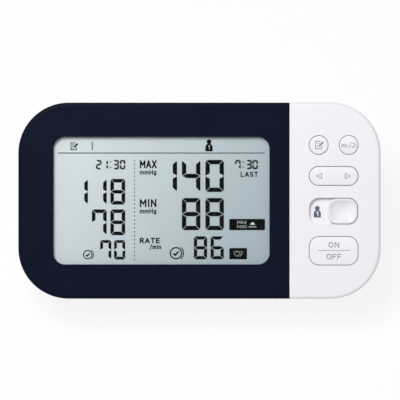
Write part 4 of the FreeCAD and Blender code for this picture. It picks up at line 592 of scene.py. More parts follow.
# Each letter's width and strokes, against a capital's height of 1
LETTERS = {
    "A": (0.74, [[(0, 0), (0.37, 1), (0.74, 0)], [(0.13, 0.32), (0.61, 0.32)]]),
    "E": (0.54, [[(0.54, 1), (0, 1), (0, 0), (0.54, 0)], [(0, 0.52), (0.47, 0.52)]]),
    "F": (0.52, [[(0.52, 1), (0, 1), (0, 0)], [(0, 0.5), (0.45, 0.5)]]),
    "H": (0.62, [[(0, 0), (0, 1)], [(0.62, 0), (0.62, 1)], [(0, 0.52), (0.62, 0.52)]]),
    "I": (0.16, [[(0.08, 0), (0.08, 1)]]),
    "L": (0.5, [[(0, 1), (0, 0), (0.5, 0)]]),
    "M": (0.8, [[(0, 0), (0, 1), (0.4, 0.36), (0.8, 1), (0.8, 0)]]),
    "N": (0.64, [[(0, 0), (0, 1), (0.64, 0), (0.64, 1)]]),
    "O": (0.66, [bow(0.33, 0.67, 0.33, 0.33, 0, 180) + bow(0.33, 0.33, 0.33, 0.33, 180, 360)]),
    "R": (0.58, [[(0, 0), (0, 1), *bow(0.3, 0.74, 0.28, 0.26, 90, -90), (0, 0.48)],
                 [(0.3, 0.48), (0.58, 0)]]),
    "S": (0.56, [bow(0.28, 0.745, 0.28, 0.255, 30, 250) + bow(0.28, 0.25, 0.28, 0.25, 70, -150)]),
    "T": (0.6, [[(0, 1), (0.6, 1)], [(0.3, 1), (0.3, 0)]]),
    "X": (0.66, [[(0, 0), (0.66, 1)], [(0, 1), (0.66, 0)]]),
    "g": (0.46, [bow(0.23, 0.37, 0.23, 0.33, 0, 360)[:-1],
                 [(0.46, 0.7), (0.46, -0.1), *bow(0.23, -0.08, 0.23, 0.2, 0, -150)]]),
    "i": (0.08, [[(0.04, 0), (0.04, 0.55)], [(0.04, 0.9), (0.04, 0.93)]]),
    "m": (0.84, [STEM, arch(0, 0.42), arch(0.42, 0.42)]),
    "n": (0.46, [STEM, arch(0, 0.46)]),
    "/": (0.4, [[(0, -0.12), (0.4, 1.05)]]),
    "1": (0.22, [[(0, 0.78), (0.22, 1), (0.22, 0)]]),
    "2": (0.5, [[*bow(0.25, 0.73, 0.25, 0.27, 165, -35), (0, 0), (0.5, 0)]]),
}
# Letters whose first stroke closes on itself
CLOSED_LETTERS = "Og"


def word_strokes(text, gap):
    """The strokes of a word with a gap between letters, each with whether it closes on itself."""
    strokes = []
    left = 0
    for letter in text:
        width, lines = LETTERS[letter]
        for index, points in enumerate(lines):
            closed = index == 0 and letter in CLOSED_LETTERS
            strokes.append(([(left + x, y) for x, y in points], closed))
        left += width + gap
    return strokes


def lengthened(points, length):
    """An open line drawn out at both of its ends."""
    first, second, before, last = (Vector(points[index]) for index in (0, 1, -2, -1))
    start = first + (first - second).normalized() * length
    end = last + (last - before).normalized() * length
    return [tuple(start), *points[1:-1], tuple(end)]


def cut_at_corners(points):
    """The runs of an open line between its sharp corners."""
    runs = [[points[0]]]
    for before, point, after in zip(points, points[1:], points[2:]):
        runs[-1].append(point)
        turn = (Vector(point) - Vector(before)).angle(Vector(after) - Vector(point))
        if turn > SHARP_TURN:
            runs.append([point])
    runs[-1].append(points[-1])
    return runs


# Figures of seven bars

LIT_BARS = {
    "0": "abcdef", "1": "bc", "2": "abged", "3": "abgcd", "4": "fgbc",
    "6": "acdefg", "7": "abcf", "8": "abcdefg",
}
BAR_CORNER_SHARE = 0.62
BAR_TIP_SHARE = 0.55
BAR_GAP_SHARE = 0.09
BEND_ANGLES = (math.radians(45), math.radians(22.5), 0)


def bar_outlines(width, height, bar, gap):
    """Outlines of the seven bars, from a figure's lower left corner with up as positive."""
    middle = height / 2
    half = bar / 2
    corner = bar * BAR_CORNER_SHARE
    tip = bar * BAR_TIP_SHARE

    def over(points):
        return [(x, height - y) for x, y in points]

    def aside(points):
        return [(width - x, y) for x, y in points]

    # a corner's arc, split by the mitre, seen from the upper left corner as (across, down)
    bend = [(corner * (1 - math.sin(angle)), corner * (1 - math.cos(angle))) for angle in BEND_ANGLES]
    flat_end = [(across + gap, height - down) for across, down in bend]
    inner_edge = [(width - bar - gap, height - bar), (bar + gap, height - bar)]
    top = flat_end + aside(flat_end[::-1]) + inner_edge
    upright_end = [(down, height - across - gap) for across, down in bend]
    left = upright_end + [(0, middle + gap), (bar, middle + tip + gap), (bar, height - bar - gap)]
    across = [(2 * gap, middle), (bar + gap, middle + half), (width - bar - gap, middle + half),
              (width - 2 * gap, middle), (width - bar - gap, middle - half), (bar + gap, middle - half)]
    return {"a": top, "f": left, "b": aside(left), "g": across,
            "d": over(top), "e": over(left), "c": over(aside(left))}


def figure(sheet, character, right, top, bottom, width, bar, gap):
    """One figure of lit bars."""
    outlines = bar_outlines(width, bottom - top, bar, min(gap, bar * BAR_GAP_SHARE))
    for name in LIT_BARS[character]:
        sheet.area([(right - width + x, bottom - y) for x, y in outlines[name]])


# Signs, drawn in pixels as (across, down) from their own middle, their arcs as centre, radius and angles

PERSON_HEAD = ((0, -3.6), 2.35)
PERSON_SHOULDERS = ((0, 1.7), 3.55, 0, 180)
PERSON_HEM = ((-3.55, 5.7), (3.55, 5.7))
MEMO_SHEET = ((1.4, -4.0), (-3.8, -4.0), (-3.8, 4.0), (2.6, 4.0), (2.6, 1.4))
MEMO_RULES = (((-2.5, -1.9), (0.675, -1.9)), ((-2.5, 0.1), (0.175, 0.1)), ((-2.5, 2.1), (-0.325, 2.1)))
MEMO_RULE_SHARE = 0.75
MEMO_PENCIL = ((3.2, -3.9), (4.9, -2.5), (1.6, 1.3), (-0.1, 2.0), (0.1, 0.0))
HEART_LOBES = (((1.5, -0.9), 1.6, -30, 165), ((-1.5, -0.9), 1.6, 15, 210))
HEART_TIP = ((0, 2.9),)
HEART_LINE = 0.32
ECHO_ARC = ((4.1, -0.9), 1.55, 100, -30)
ECHO_TIP = ((2.5, 2.8),)
ECHO_LINE = 0.3
ALERT_TRIANGLE = ((0, -2.3), (-2.7, 0.6), (2.7, 0.6))
ALERT_BAR = ((-4.0, 2.7), (4.0, 2.7))
ALERT_BAR_LINE = 0.6
SENDER = ((-3.9, 1.9), 0.55)
WAVES = (((-3.9, 1.9), 1.7, -8, 188), ((-3.9, 1.9), 3.0, -8, 188))
SLASH = ((0.7, 2.9), (3.2, -3.0))
CRESCENT = (((5.5, 0.3), 2.3, -150, 110), ((4.6, -0.2), 1.7, 95, -125))
CRESCENT_SHARE = 0.8
ARROW = ((-2.3, -2.6), (2.7, 0), (-2.3, 2.6))
# a tick against its ring's radius, and the other strokes and their gap against the ring's own stroke
TICK = ((-0.45, 0.0), (-0.12, 0.36), (0.46, -0.34))
TICK_SHARE = 1.25
RING_ECHO_GAP = 1.5
RING_ECHO_SHARE = 0.8
# degrees up and down that the echo spans
RING_ECHO_ANGLE = 50


def at(spot, points, scale=1.0):
    """A sign's points, scaled and moved to its spot."""
    return [(spot[0] + across * scale, spot[1] + down * scale) for across, down in points]


def arcs_at(spot, arcs, scale=1.0):
    """Points of a sign's arcs one after another, scaled and moved to its spot."""
    points = []
    for centre, radius, start, end in arcs:
        points += arc_points(*at(spot, [centre], scale)[0], radius * scale, start, end)
    return points


def disc_at(sheet, spot, disc, scale=1.0):
    """A sign's filled circle, scaled and moved to its spot."""
    centre, radius = disc
    sheet.disc(*at(spot, [centre], scale)[0], radius * scale)


def person(sheet, spot, scale):
    """A head over round shoulders."""
    disc_at(sheet, spot, PERSON_HEAD, scale)
    sheet.area(arcs_at(spot, [PERSON_SHOULDERS], scale) + at(spot, PERSON_HEM, scale))


def person_number(sheet, number, spot, box):
    """A person's number, in a box about the person's spot."""
    left, right, top, bottom, line = box
    column, row = spot
    sheet.words(number, column + left, column + right, row + top, row + bottom, line)


def memo(sheet, spot, scale, line):
    """A ruled sheet with a pencil."""
    sheet.stroke(at(spot, MEMO_SHEET, scale), line)
    for rule in MEMO_RULES:
        sheet.stroke(at(spot, rule, scale), line * MEMO_RULE_SHARE)
    sheet.area(at(spot, MEMO_PENCIL, scale))


def beating_heart(sheet, spot, scale):
    """The outline of a heart with an echo beside it."""
    outline = arcs_at(spot, HEART_LOBES, scale) + at(spot, HEART_TIP, scale)
    sheet.stroke(outline, HEART_LINE, closed=True)
    sheet.stroke(arcs_at(spot, [ECHO_ARC]) + at(spot, ECHO_TIP), ECHO_LINE)


def alert(sheet, spot):
    """A triangle over a bar."""
    sheet.area(at(spot, ALERT_TRIANGLE))
    sheet.stroke(at(spot, ALERT_BAR), ALERT_BAR_LINE)


def connection(sheet, spot, line):
    """Waves from a sender, a slash and a crescent."""
    disc_at(sheet, spot, SENDER)
    for wave in WAVES:
        sheet.stroke(arcs_at(spot, [wave]), line)
    sheet.stroke(at(spot, SLASH), line)
    sheet.stroke(arcs_at(spot, CRESCENT), line * CRESCENT_SHARE, closed=True)


def arrow(sheet, spot, way, line):
    """An open triangle that points left or right."""
    sheet.stroke(at(spot, [(way * across, down) for across, down in ARROW]), line, closed=True)


def tick_ring(sheet, column, row, radius, line):
    """A tick in a ring with an echo beside it."""
    sheet.stroke(circle_points(column, row, radius), line, closed=True)
    sheet.stroke(at((column, row), TICK, radius), line * TICK_SHARE)
    echo = arc_points(column, row, radius + RING_ECHO_GAP * line, -RING_ECHO_ANGLE, RING_ECHO_ANGLE)
    sheet.stroke(echo, line * RING_ECHO_SHARE)


# Nodes of finishes and geometry trees

NOISE_SPAN = (0.3, 0.7)


def feed(tree, node, inputs):
    """Sets a node's inputs to values, or joins them to other nodes' sockets."""
    for key, value in inputs.items():
        if isinstance(value, bpy.types.NodeSocket):
            tree.links.new(value, node.inputs[key])
        else:
            node.inputs[key].default_value = value


def add(tree, kind, inputs=None, **options):
    """A new node with its options set and its inputs fed."""
    node = tree.nodes.new(kind)
    for name, value in options.items():
        setattr(node, name, value)
    feed(tree, node, inputs or {})
    return node


def maths(tree, operation, *values):
    """The result of a sum with values or sockets."""
    return add(tree, "ShaderNodeMath", dict(enumerate(values)), operation=operation).outputs["Value"]


def noise(tree, scale, detail, stretch=(1, 1, 1)):
    """Noise on the piece's own coordinates, with features per metre."""
    place = add(tree, "ShaderNodeTexCoord").outputs["Object"]
    mapping = add(tree, "ShaderNodeMapping", {"Vector": place, "Scale": stretch})
    texture = add(tree, "ShaderNodeTexNoise",
                  {"Vector": mapping.outputs["Vector"], "Scale": scale, "Detail": detail})
    return texture.outputs["Fac"]


def spread(tree, source, low, high, start=0.0, end=1.0, **options):
    """Maps a value that runs from start to end on to the span between two others."""
    node = add(tree, "ShaderNodeMapRange", {
        "Value": source, "From Min": start, "From Max": end, "To Min": low, "To Max": high}, **options)
    return node.outputs["Result"]


def patchy(tree, low, high, scale, detail):
    """A value that drifts between two others over the piece."""
    return spread(tree, noise(tree, scale, detail), low, high, *NOISE_SPAN)


def mix_colours(tree, factor, first, second):
    """A blend of two colours or colour sockets."""
    node = add(tree, "ShaderNodeMix", {"Factor": factor}, data_type="RGBA")
    sockets = [socket for socket in node.inputs if socket.type == "RGBA"]
    for socket, value in zip(sockets, (first, second)):
        if isinstance(value, bpy.types.NodeSocket):
            tree.links.new(value, socket)
        else:
            socket.default_value = (*value, 1)
    return [socket for socket in node.outputs if socket.type == "RGBA"][0]


def mix_shaders(tree, share, first, second):
    """Ends a finish in a blend of two shaders."""
    mix = add(tree, "ShaderNodeMixShader", {0: share, 1: first, 2: second})
    feed(tree, tree.nodes["Material Output"], {"Surface": mix.outputs["Shader"]})


def bump(tree, height, strength, distance):
    """The tilt of a surface that a height pattern raises."""
    node = add(tree, "ShaderNodeBump", {"Height": height, "Strength": strength, "Distance": distance})
    return node.outputs["Normal"]


def scaled(colour, share):
    """A colour made lighter or darker."""
    return tuple(min(1.0, value * share) for value in colour)


def clouded(tree, colour, shade, scale, detail):
    """A colour that drifts to a darker shade of itself and back."""
    return mix_colours(tree, patchy(tree, 0, 1, scale, detail), scaled(colour, shade), tuple(colour))


def new_finish(name):
    """A material with its node tree and its surface shader."""
    material = bpy.data.materials.new(name)
    material.use_nodes = True
    tree = material.node_tree
    return material, tree, tree.nodes["Principled BSDF"]


# Finishes, their patterns as (features per metre, detail)

CLOUD = (22, 3)
GLOSS = (140, 4)
GRAIN_DETAIL = 2
GRAIN_STRENGTH = 0.35
TARNISH = (160, 4)
TARNISH_SHADE = 0.86
DRAWN_DETAIL = 3
DRAWN_SMOOTHER = 0.08
DRAWN_ROUGHER = 0.1
DRAWN_STRENGTH = 0.2
DRAWN_RELIEF = 0.01 * MM
# The display glass's painted light: its colour runs from a painted highlight at the upper left to painted
# shade at the lower right along this slant and fade
PAINTED_LIGHT_SLANT = -0.42
PAINTED_LIGHT_FADE = (-0.25, 1.6)
PEARL_CLOUD = (30, 3)
PEARL_CLOUD_SHARE = 0.1
PEARL_CLOUD_SHADE = 0.97
PEARL_GLOSS = (300, 3)
PEARL_ROUGHNESS = (0.4, 0.5)
PEARL_SHINE = 0.3
PEARL_GRAIN = (6000, 1)
PEARL_STRENGTH = 0.2
PEARL_RELIEF = 0.004 * MM
LENS_TINT = (0.985, 0.99, 0.99, 1)
LENS_GLOSS = (90, 4)
LENS_ROUGHNESS = (0.03, 0.07)
LENS_POWER = 5
LENS_MIRROR = (0.003, 0.6)
TRACK_OFFSET = 0.37
TRACK_SCALE = 180
TRACK_LENGTH = 3.4
TRACK_PITCH = 0.2
TRACK_EDGE = 0.03
TRACK_STRENGTH = 0.4
TRACK_RELIEF = 0.02 * MM
LACQUER_CLOUD = (60, 3)
LACQUER_CLOUD_SHARE = 0.25
LACQUER_GLOSS = (400, 3)
LACQUER_ROUGHNESS = (0.22, 0.38)


def moulded(name, colour, roughness, shine=0.5, shade=0.97, grain=2600, relief=0.012, vary=0.06):
    """Moulded plastic: faint clouding, uneven gloss and a fine eroded grain."""
    material, tree, shader = new_finish(name)
    feed(tree, shader, {
        "Base Color": clouded(tree, colour, shade, *CLOUD),
        "Roughness": patchy(tree, roughness - vary, roughness + vary, *GLOSS),
        "Specular IOR Level": shine,
        "Normal": bump(tree, noise(tree, grain, GRAIN_DETAIL), GRAIN_STRENGTH, relief * MM),
    })
    return material


def metal(name, colour, roughness, stretch=(1, 1, 1), scale=900):
    """Bare metal with fine drawn lines and dull patches."""
    material, tree, shader = new_finish(name)
    lines = noise(tree, scale, DRAWN_DETAIL, stretch)
    smoothest, roughest = roughness - DRAWN_SMOOTHER, roughness + DRAWN_ROUGHER
    feed(tree, shader, {
        "Base Color": clouded(tree, colour, TARNISH_SHADE, *TARNISH),
        "Metallic": 1,
        "Roughness": spread(tree, lines, smoothest, roughest, *NOISE_SPAN),
        "Normal": bump(tree, lines, DRAWN_STRENGTH, DRAWN_RELIEF),
    })
    return material


def soft_rubber(name, colour, roughness=0.72):
    """Rubber or silicone with a dusty, slightly pebbled skin."""
    return moulded(name, colour, roughness, shine=0.3, shade=0.8, grain=1700, relief=0.03, vary=0.1)


def ink(name, colour):
    """Printed ink with a slightly uneven coat."""
    return moulded(name, colour, roughness=0.5, shine=0.03, shade=0.9, grain=5200, relief=0.004, vary=0.05)


def pearl_glass(name, bright, dim):
    """Display glass with painted light: lighter at the upper left, toward the lamp, and painted shade at
    the lower right, with a fine satin grain.
    """
    material, tree, shader = new_finish(name)
    low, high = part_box("lcd_glass")
    place = add(tree, "ShaderNodeTexCoord").outputs["Object"]
    mapping = add(tree, "ShaderNodeMapping", {
        "Vector": place, "Location": (low.x, high.y, high.z), "Scale": high - low}, vector_type="TEXTURE")
    parts = add(tree, "ShaderNodeSeparateXYZ", {"Vector": mapping.outputs["Vector"]}).outputs
    # Painted light: the colour is lighter toward the upper left and painted shade toward the lower right
    slant = maths(tree, "MULTIPLY_ADD", parts["Y"], PAINTED_LIGHT_SLANT, parts["X"])
    painted_light_fade = spread(tree, slant, 0, 1, *PAINTED_LIGHT_FADE, interpolation_type="SMOOTHSTEP")
    blend = mix_colours(tree, painted_light_fade, tuple(bright), tuple(dim))
    cloud = patchy(tree, 0, PEARL_CLOUD_SHARE, *PEARL_CLOUD)
    feed(tree, shader, {
        "Base Color": mix_colours(tree, cloud, blend, scaled(dim, PEARL_CLOUD_SHADE)),
        "Roughness": patchy(tree, *PEARL_ROUGHNESS, *PEARL_GLOSS),
        "Specular IOR Level": PEARL_SHINE,
        "Normal": bump(tree, noise(tree, *PEARL_GRAIN), PEARL_STRENGTH, PEARL_RELIEF),
    })
    return material


def clear_lens(name):
    """Clear hard-coated lens that lets light through and mirrors more at a slant."""
    material, tree, shader = new_finish(name)
    tree.nodes.remove(shader)
    clear = add(tree, "ShaderNodeBsdfTransparent", {"Color": LENS_TINT})
    gloss = add(tree, "ShaderNodeBsdfGlossy", {"Roughness": patchy(tree, *LENS_ROUGHNESS, *LENS_GLOSS)})
    facing = add(tree, "ShaderNodeLayerWeight").outputs["Facing"]
    share = spread(tree, maths(tree, "POWER", facing, LENS_POWER), *LENS_MIRROR)
    mix_shaders(tree, share, clear.outputs["BSDF"], gloss.outputs["BSDF"])
    return material


def board_lacquer(name):
    """Green lacquer over copper tracks."""
    material, tree, shader = new_finish(name)
    tracks = add(tree, "ShaderNodeTexBrick", {
        "Vector": add(tree, "ShaderNodeTexCoord").outputs["Object"],
        "Scale": TRACK_SCALE,
        "Brick Width": TRACK_LENGTH,
        "Row Height": TRACK_PITCH,
        "Mortar Size": TRACK_EDGE,
        "Color1": (*from_srgb(24, 92, 58), 1),
        "Color2": (*from_srgb(26, 100, 62), 1),
        "Mortar": (*from_srgb(52, 132, 82), 1),
    }, offset=TRACK_OFFSET).outputs
    cloud = patchy(tree, 0, LACQUER_CLOUD_SHARE, *LACQUER_CLOUD)
    feed(tree, shader, {
        "Base Color": mix_colours(tree, cloud, tracks["Color"], from_srgb(18, 74, 48)),
        "Roughness": patchy(tree, *LACQUER_ROUGHNESS, *LACQUER_GLOSS),
        "Normal": bump(tree, tracks["Fac"], TRACK_STRENGTH, TRACK_RELIEF),
    })
    return material


def slot_finishes(case, display):
    """The finish of each of the record's material slots."""
    return {
        "white_plastic": moulded("white_shell", case.white, roughness=0.42),
        "navy_plastic": moulded("navy_lacquer", case.navy, roughness=0.36, shine=0.035, shade=0.88,
                                grain=3400, relief=0.006),
        "clear_window": clear_lens("clear_lens"),
        "foam": soft_rubber("black_foam", from_srgb(26, 26, 28), roughness=0.9),
        # The display glass is painted lighter at the upper left and darker at the lower right: painted
        # light and painted shade
        "display_glass": pearl_glass("pearl_glass", display.glass_painted_highlight, display.glass_painted_shade),
        "holder_plastic": moulded("holder_grey", from_srgb(196, 198, 200), roughness=0.5),
        "silicone": soft_rubber("milky_silicone", from_srgb(214, 214, 208), roughness=0.55),
        "black_rubber": soft_rubber("foot_rubber", case.rubber),
        "board_green": board_lacquer("board_lacquer"),
        "steel": metal("bright_steel", from_srgb(196, 198, 202), roughness=0.3),
        "black_plastic": moulded("black_moulding", from_srgb(34, 35, 38), roughness=0.5, shade=0.85),
        "cell_sleeve": moulded("cell_sleeve", from_srgb(56, 92, 150), roughness=0.3, shade=0.9),
        "contact_metal": metal("nickel_contact", from_srgb(212, 206, 190), roughness=0.26),
    }


FINISHES = {}


def finish_for(slot, context):
    """The finish of a slot. All of them are made at the first call."""
    if not FINISHES:
        case, display, _ = settings(context)
        FINISHES.update(slot_finishes(case, display))
    return FINISHES[slot]


# Geometry node trees

def new_tree(name, sockets):
    """An empty tree, the sockets of its inputs, the node that ends it and its inputs' identifiers."""
    tree = bpy.data.node_groups.new(name, "GeometryNodeTree")
    tree.interface.new_socket(name="Geometry", in_out="OUTPUT", socket_type="NodeSocketGeometry")
    keys = {}
    for title, kind in sockets:
        socket = tree.interface.new_socket(name=title, in_out="INPUT", socket_type="NodeSocket" + kind)
        keys[title] = socket.identifier
    return tree, add(tree, "NodeGroupInput").outputs, add(tree, "NodeGroupOutput"), keys


def close_tree(tree, copies, finish, end):
    """Ends a tree with real geometry in one finish."""
    real = add(tree, "GeometryNodeRealizeInstances", {"Geometry": copies.outputs["Instances"]})
    paint = add(tree, "GeometryNodeSetMaterial", {"Geometry": real.outputs["Geometry"], "Material": finish})
    feed(tree, end, {"Geometry": paint.outputs["Geometry"]})


def made_by(tree, keys, values, mesh):
    """The plain mesh that a tree makes of a helper mesh, with its inputs set by name."""
    helper = new_object(mesh.name, mesh)
    modifier = helper.modifiers.new(tree.name, "NODES")
    modifier.node_group = tree
    for title, value in values.items():
        modifier[keys[title]] = value
    result = evaluated_mesh(helper)
    helper.modifiers.remove(modifier)
    discard(helper)
    return result


def dotted_tree():
    """A tree that repeats a small round dot along a straight line."""
    tree, start, end, keys = new_tree("dotted_line", (
        ("Count", "Int"), ("First", "Vector"), ("Step", "Vector"), ("Radius", "Float"), ("Height", "Float"),
        ("Finish", "Material")))
    line = add(tree, "GeometryNodeMeshLine", {
        "Count": start["Count"], "Start Location": start["First"], "Offset": start["Step"]})
    dot = add(tree, "GeometryNodeMeshCylinder", {
        "Vertices": DOT_SIDES, "Radius": start["Radius"], "Depth": start["Height"]})
    copies = add(tree, "GeometryNodeInstanceOnPoints", {
        "Points": line.outputs["Mesh"], "Instance": dot.outputs["Mesh"]})
    close_tree(tree, copies, start["Finish"], end)
    return tree, keys


def turned_to(tree, attribute, axis, inputs=None, **options):
    """A rotation that turns an axis to a vector that each point carries, if it carries one."""
    carried = add(tree, "GeometryNodeInputNamedAttribute", {"Name": attribute}, data_type="FLOAT_VECTOR")
    turn = add(tree, "FunctionNodeAlignRotationToVector", inputs, axis=axis, **options)
    feed(tree, turn, {"Vector": carried.outputs["Attribute"]})
    return turn.outputs["Rotation"]


def seated_tree():
    """A tree that sets one shape on each point of a mesh, turned to the point's aim and then its side."""
    tree, start, end, keys = new_tree("seated_copies", (
        ("Points", "Geometry"), ("Shape", "Object"), ("Finish", "Material")))
    shape = add(tree, "GeometryNodeObjectInfo", {"Object": start["Shape"]})
    aimed = turned_to(tree, "aim", "Z")
    rolled = turned_to(tree, "side", "X", {"Rotation": aimed}, pivot_axis="Z")
    copies = add(tree, "GeometryNodeInstanceOnPoints", {
        "Points": start["Points"], "Instance": shape.outputs["Geometry"], "Rotation": rolled})
    close_tree(tree, copies, start["Finish"], end)
    return tree, keys


def seat_copies(name, shape_mesh, places, finish):
    """Copies of a shape at (point, aim) or (point, aim, side) places, as one plain mesh."""
    points, *directions = zip(*places)
    mesh = bpy.data.meshes.new(name + "_points")
    mesh.from_pydata(points, [], [])
    for title, values in zip(("aim", "side"), directions):
        for item, value in zip(mesh.attributes.new(title, "FLOAT_VECTOR", "POINT").data, values):
            item.vector = value
    shape = new_object(name + "_shape", shape_mesh)
    tree, keys = seated_tree()
    result = made_by(tree, keys, {"Shape": shape, "Finish": finish}, mesh)
    discard(shape)
    return result


# Screws and dry cells

SCREW_SIDES = 20
# a pan head's profile against its radius and its depth
HEAD_SHARES = ((0.74, 0), (0.9, 0.07), (0.98, 0.24), (1, 0.5), (1, 0.94), (0.97, 1))
RECESS_SHARE = 0.62
RECESS_WIDTH_SHARE = 0.17
RECESS_DEPTH_SHARE = 0.62
RECESS_FLOOR_SHARES = (0.55, 0.8)
THREAD_SIDES = 16
THREAD_STEPS = 4
THREAD_PITCH = 0.8 * MM
THREAD_DEPTH = 0.22 * MM
THREAD_START_SHARE = 0.5
THREAD_STEEPNESS = 3
POINT_LENGTH = 1.0 * MM
POINT_SHARE = 0.35
CELL_SIDES = 40
CELL_ROLL = 0.35 * MM
CELL_COLLAR_SHARE = 0.76
# profiles of a cell against its radius and its roll: rolled end, base disc and rim of the cap
CRIMP_SHARES = ((0.8, 0.6), (0.86, 0.15), (0.94, 0), (0.985, 0.4), (1, 1.4))
BASE_SHARES = ((0.82, 1), (0.82, 0.4), (0.62, 0.1), (0.3, 0.1))
RIM_SHARES = ((0.82, -1), (0.82, -0.5))
# and against its nub's radius and its roll: foot and tip of the nub
NUB_SHARES = ((1.25, -0.2), (1, 0.3))
TIP_SHARES = ((1, -1), (0.86, 0))


class Stepped:
    """Sizes of a round solid with a wide and a narrow end, read from its CAD shape along an axis."""

    def __init__(self, corners, axis):
        lengths = [corner.dot(axis) for corner in corners]
        low, high = min(lengths), max(lengths)
        middle = sum(corners, Vector()) / len(corners)
        centre = middle - axis * middle.dot(axis)
        radii = [(corner - axis * corner.dot(axis) - centre).length for corner in corners]
        self.wide_radius = max(radii)
        wide = [length for length, radius in zip(lengths, radii) if radius > self.wide_radius - WELD]
        wide_is_low = min(wide) - low < high - max(wide)
        near, far = (low, high) if wide_is_low else (high, low)
        self.aim = axis if wide_is_low else -axis
        self.top = centre + axis * near
        self.narrow_radius = max(
            radius for radius, length in zip(radii, lengths) if abs(length - far) < WELD)
        self.length = high - low
        self.wide_height = max(abs(length - near) for length in wide)


def screw_mesh(name, screw):
    """A pan head with a cross recess over a threaded shank, its top at the origin and its tip up."""
    bm = bmesh.new()
    head, depth = screw.wide_radius, screw.wide_height
    profile = [(head * wide, depth * deep) for wide, deep in HEAD_SHARES]
    rings = turned(bm, profile + [(screw.narrow_radius, depth)], SCREW_SIDES)
    skin(bm, rings, capped=False)
    bm.faces.new(rings[-1])
    arm = head * RECESS_SHARE
    half = head * RECESS_WIDTH_SHARE
    cross = [(arm, -half), (arm, half), (half, half)]
    for _ in range(3):
        cross += [(-y, x) for x, y in cross[-3:]]
    across, along = RECESS_FLOOR_SHARES
    rim = [bm.verts.new((x, y, 0)) for x, y in cross]
    floor = [bm.verts.new((x * across, y * along, depth * RECESS_DEPTH_SHARE)) for x, y in cross]
    edges = [bm.edges.new((rim[index - 1], rim[index])) for index in range(len(rim))]
    edges += [bm.edges.get((rings[0][side - 1], rings[0][side])) for side in range(SCREW_SIDES)]
    bmesh.ops.triangle_fill(bm, use_beauty=True, edges=edges)
    skin(bm, [rim, floor], capped=False)
    bm.faces.new(floor)
    turn_outwards(bm)
    add_thread(bm, screw)
    return mesh_from(bm, name)


def add_thread(bm, screw):
    """A pointed shank with a thread that winds along it, as its own closed skin."""
    start = screw.wide_height * THREAD_START_SHARE
    steps = math.ceil((screw.length - start) / THREAD_PITCH * THREAD_STEPS)
    loops = []
    for step in range(steps + 1):
        height = start + (screw.length - start) * step / steps
        taper = min(1.0, POINT_SHARE + (1 - POINT_SHARE) * (screw.length - height) / POINT_LENGTH)
        loop = []
        for side, (x, y) in enumerate(around(taper, THREAD_SIDES)):
            phase = (height / THREAD_PITCH - side / THREAD_SIDES) % 1
            sink = THREAD_DEPTH * min(1.0, abs(phase - 0.5) * THREAD_STEEPNESS)
            radius = screw.narrow_radius - sink
            loop.append((x * radius, y * radius, height))
        loops.append(loop)
    stacked(bm, loops)


def profile_from(shares, radius, height, roll):
    """A profile from shares of a radius, and of a roll from a height."""
    return [(radius * wide, height + roll * up) for wide, up in shares]


def cell_profiles(cell):
    """Profiles of a dry cell's sleeve, collar, base and cap, its base at the origin and its tip up."""
    wide, nub = cell.wide_radius, cell.narrow_radius
    shoulder, tip = cell.wide_height, cell.length
    split = (wide, shoulder * CELL_COLLAR_SHARE)
    sleeve = profile_from(CRIMP_SHARES, wide, 0, CELL_ROLL) + [split]
    collar = [split] + profile_from(CRIMP_SHARES[::-1], wide, shoulder, -CELL_ROLL)
    base = profile_from(BASE_SHARES, wide, 0, CELL_ROLL)
    rim = profile_from(RIM_SHARES, wide, shoulder, CELL_ROLL)
    foot = profile_from(NUB_SHARES, nub, shoulder, CELL_ROLL)
    point = profile_from(TIP_SHARES, nub, tip, CELL_ROLL)
    return sleeve, collar, base, rim + foot + point


def lathed_mesh(name, profiles):
    """Closed lathed solids in one mesh."""
    bm = bmesh.new()
    for profile in profiles:
        skin(bm, turned(bm, profile, CELL_SIDES))
    turn_outwards(bm)
    return mesh_from(bm, name)


# The circuit board's parts

CHIP_DRAFT = 0.12 * MM
CHIP_CORNER = 0.3 * MM
LEG_REACH = 1.0 * MM
LEG_WIDTH = 0.4 * MM
LEG_THICKNESS = 0.15 * MM
LEG_PITCH = 1.0 * MM
LEG_MARGIN = 2.0 * MM
# a leg's root, knee and heel, against its reach from the chip's side
LEG_SHARES = (-1.1, -0.7, -0.45)
MODULE_BOARD = 0.8 * MM
MODULE_INSET = 0.06 * MM
CAN_INSET = 0.8 * MM
CAN_ANTENNA = 4.0 * MM
CAN_ROLL = 0.3 * MM
CAN_ROLL_SHARE = 0.3
PAD_PITCH = 1.27 * MM
PAD_DEPTH = 0.5 * MM
PAD_WIDTH = 0.8 * MM
PAD_PROUD = 0.04 * MM
LONG_SIDES = ((1, 0, 0), (-1, 0, 0))
ALL_SIDES = ((1, 0, 0), (0, 1, 0), (-1, 0, 0), (0, -1, 0))


def face_box(node):
    """A node's lowest and highest corners in the face's own frame."""
    low, high = zip(*(reach([node], direction) for direction in (RIGHT, UP, OUT)))
    origin = Vector(FACE_ORIGIN.dot(direction) for direction in (RIGHT, UP, OUT))
    return Vector(low) - origin, Vector(high) - origin


def layered(name, low, high, corner, layers):
    """A block with round corners on the face, built of (height, inset) layers from its lowest one up."""
    centre = (low + high) / 2
    size = high - low
    loops = []
    for height, inset in layers:
        outline = rounded_outline(centre, size.x - 2 * inset, size.y - 2 * inset, max(corner - inset, WELD))
        loops.append([(*point, height) for point in outline])
    bm = bmesh.new()
    stacked(bm, loops)
    return mesh_from(bm, name, FACE)


def strip_mesh(name, line, thickness, width):
    """A bent metal strip that follows a line of (x, z) points, centred on y."""
    outline = offset_line(line, thickness / 2, False) + offset_line(line, -thickness / 2, False)[::-1]
    bm = bmesh.new()
    stacked(bm, [[(x, y, z) for x, z in outline] for y in (-width / 2, width / 2)])
    turn_outwards(bm)
    return mesh_from(bm, name)


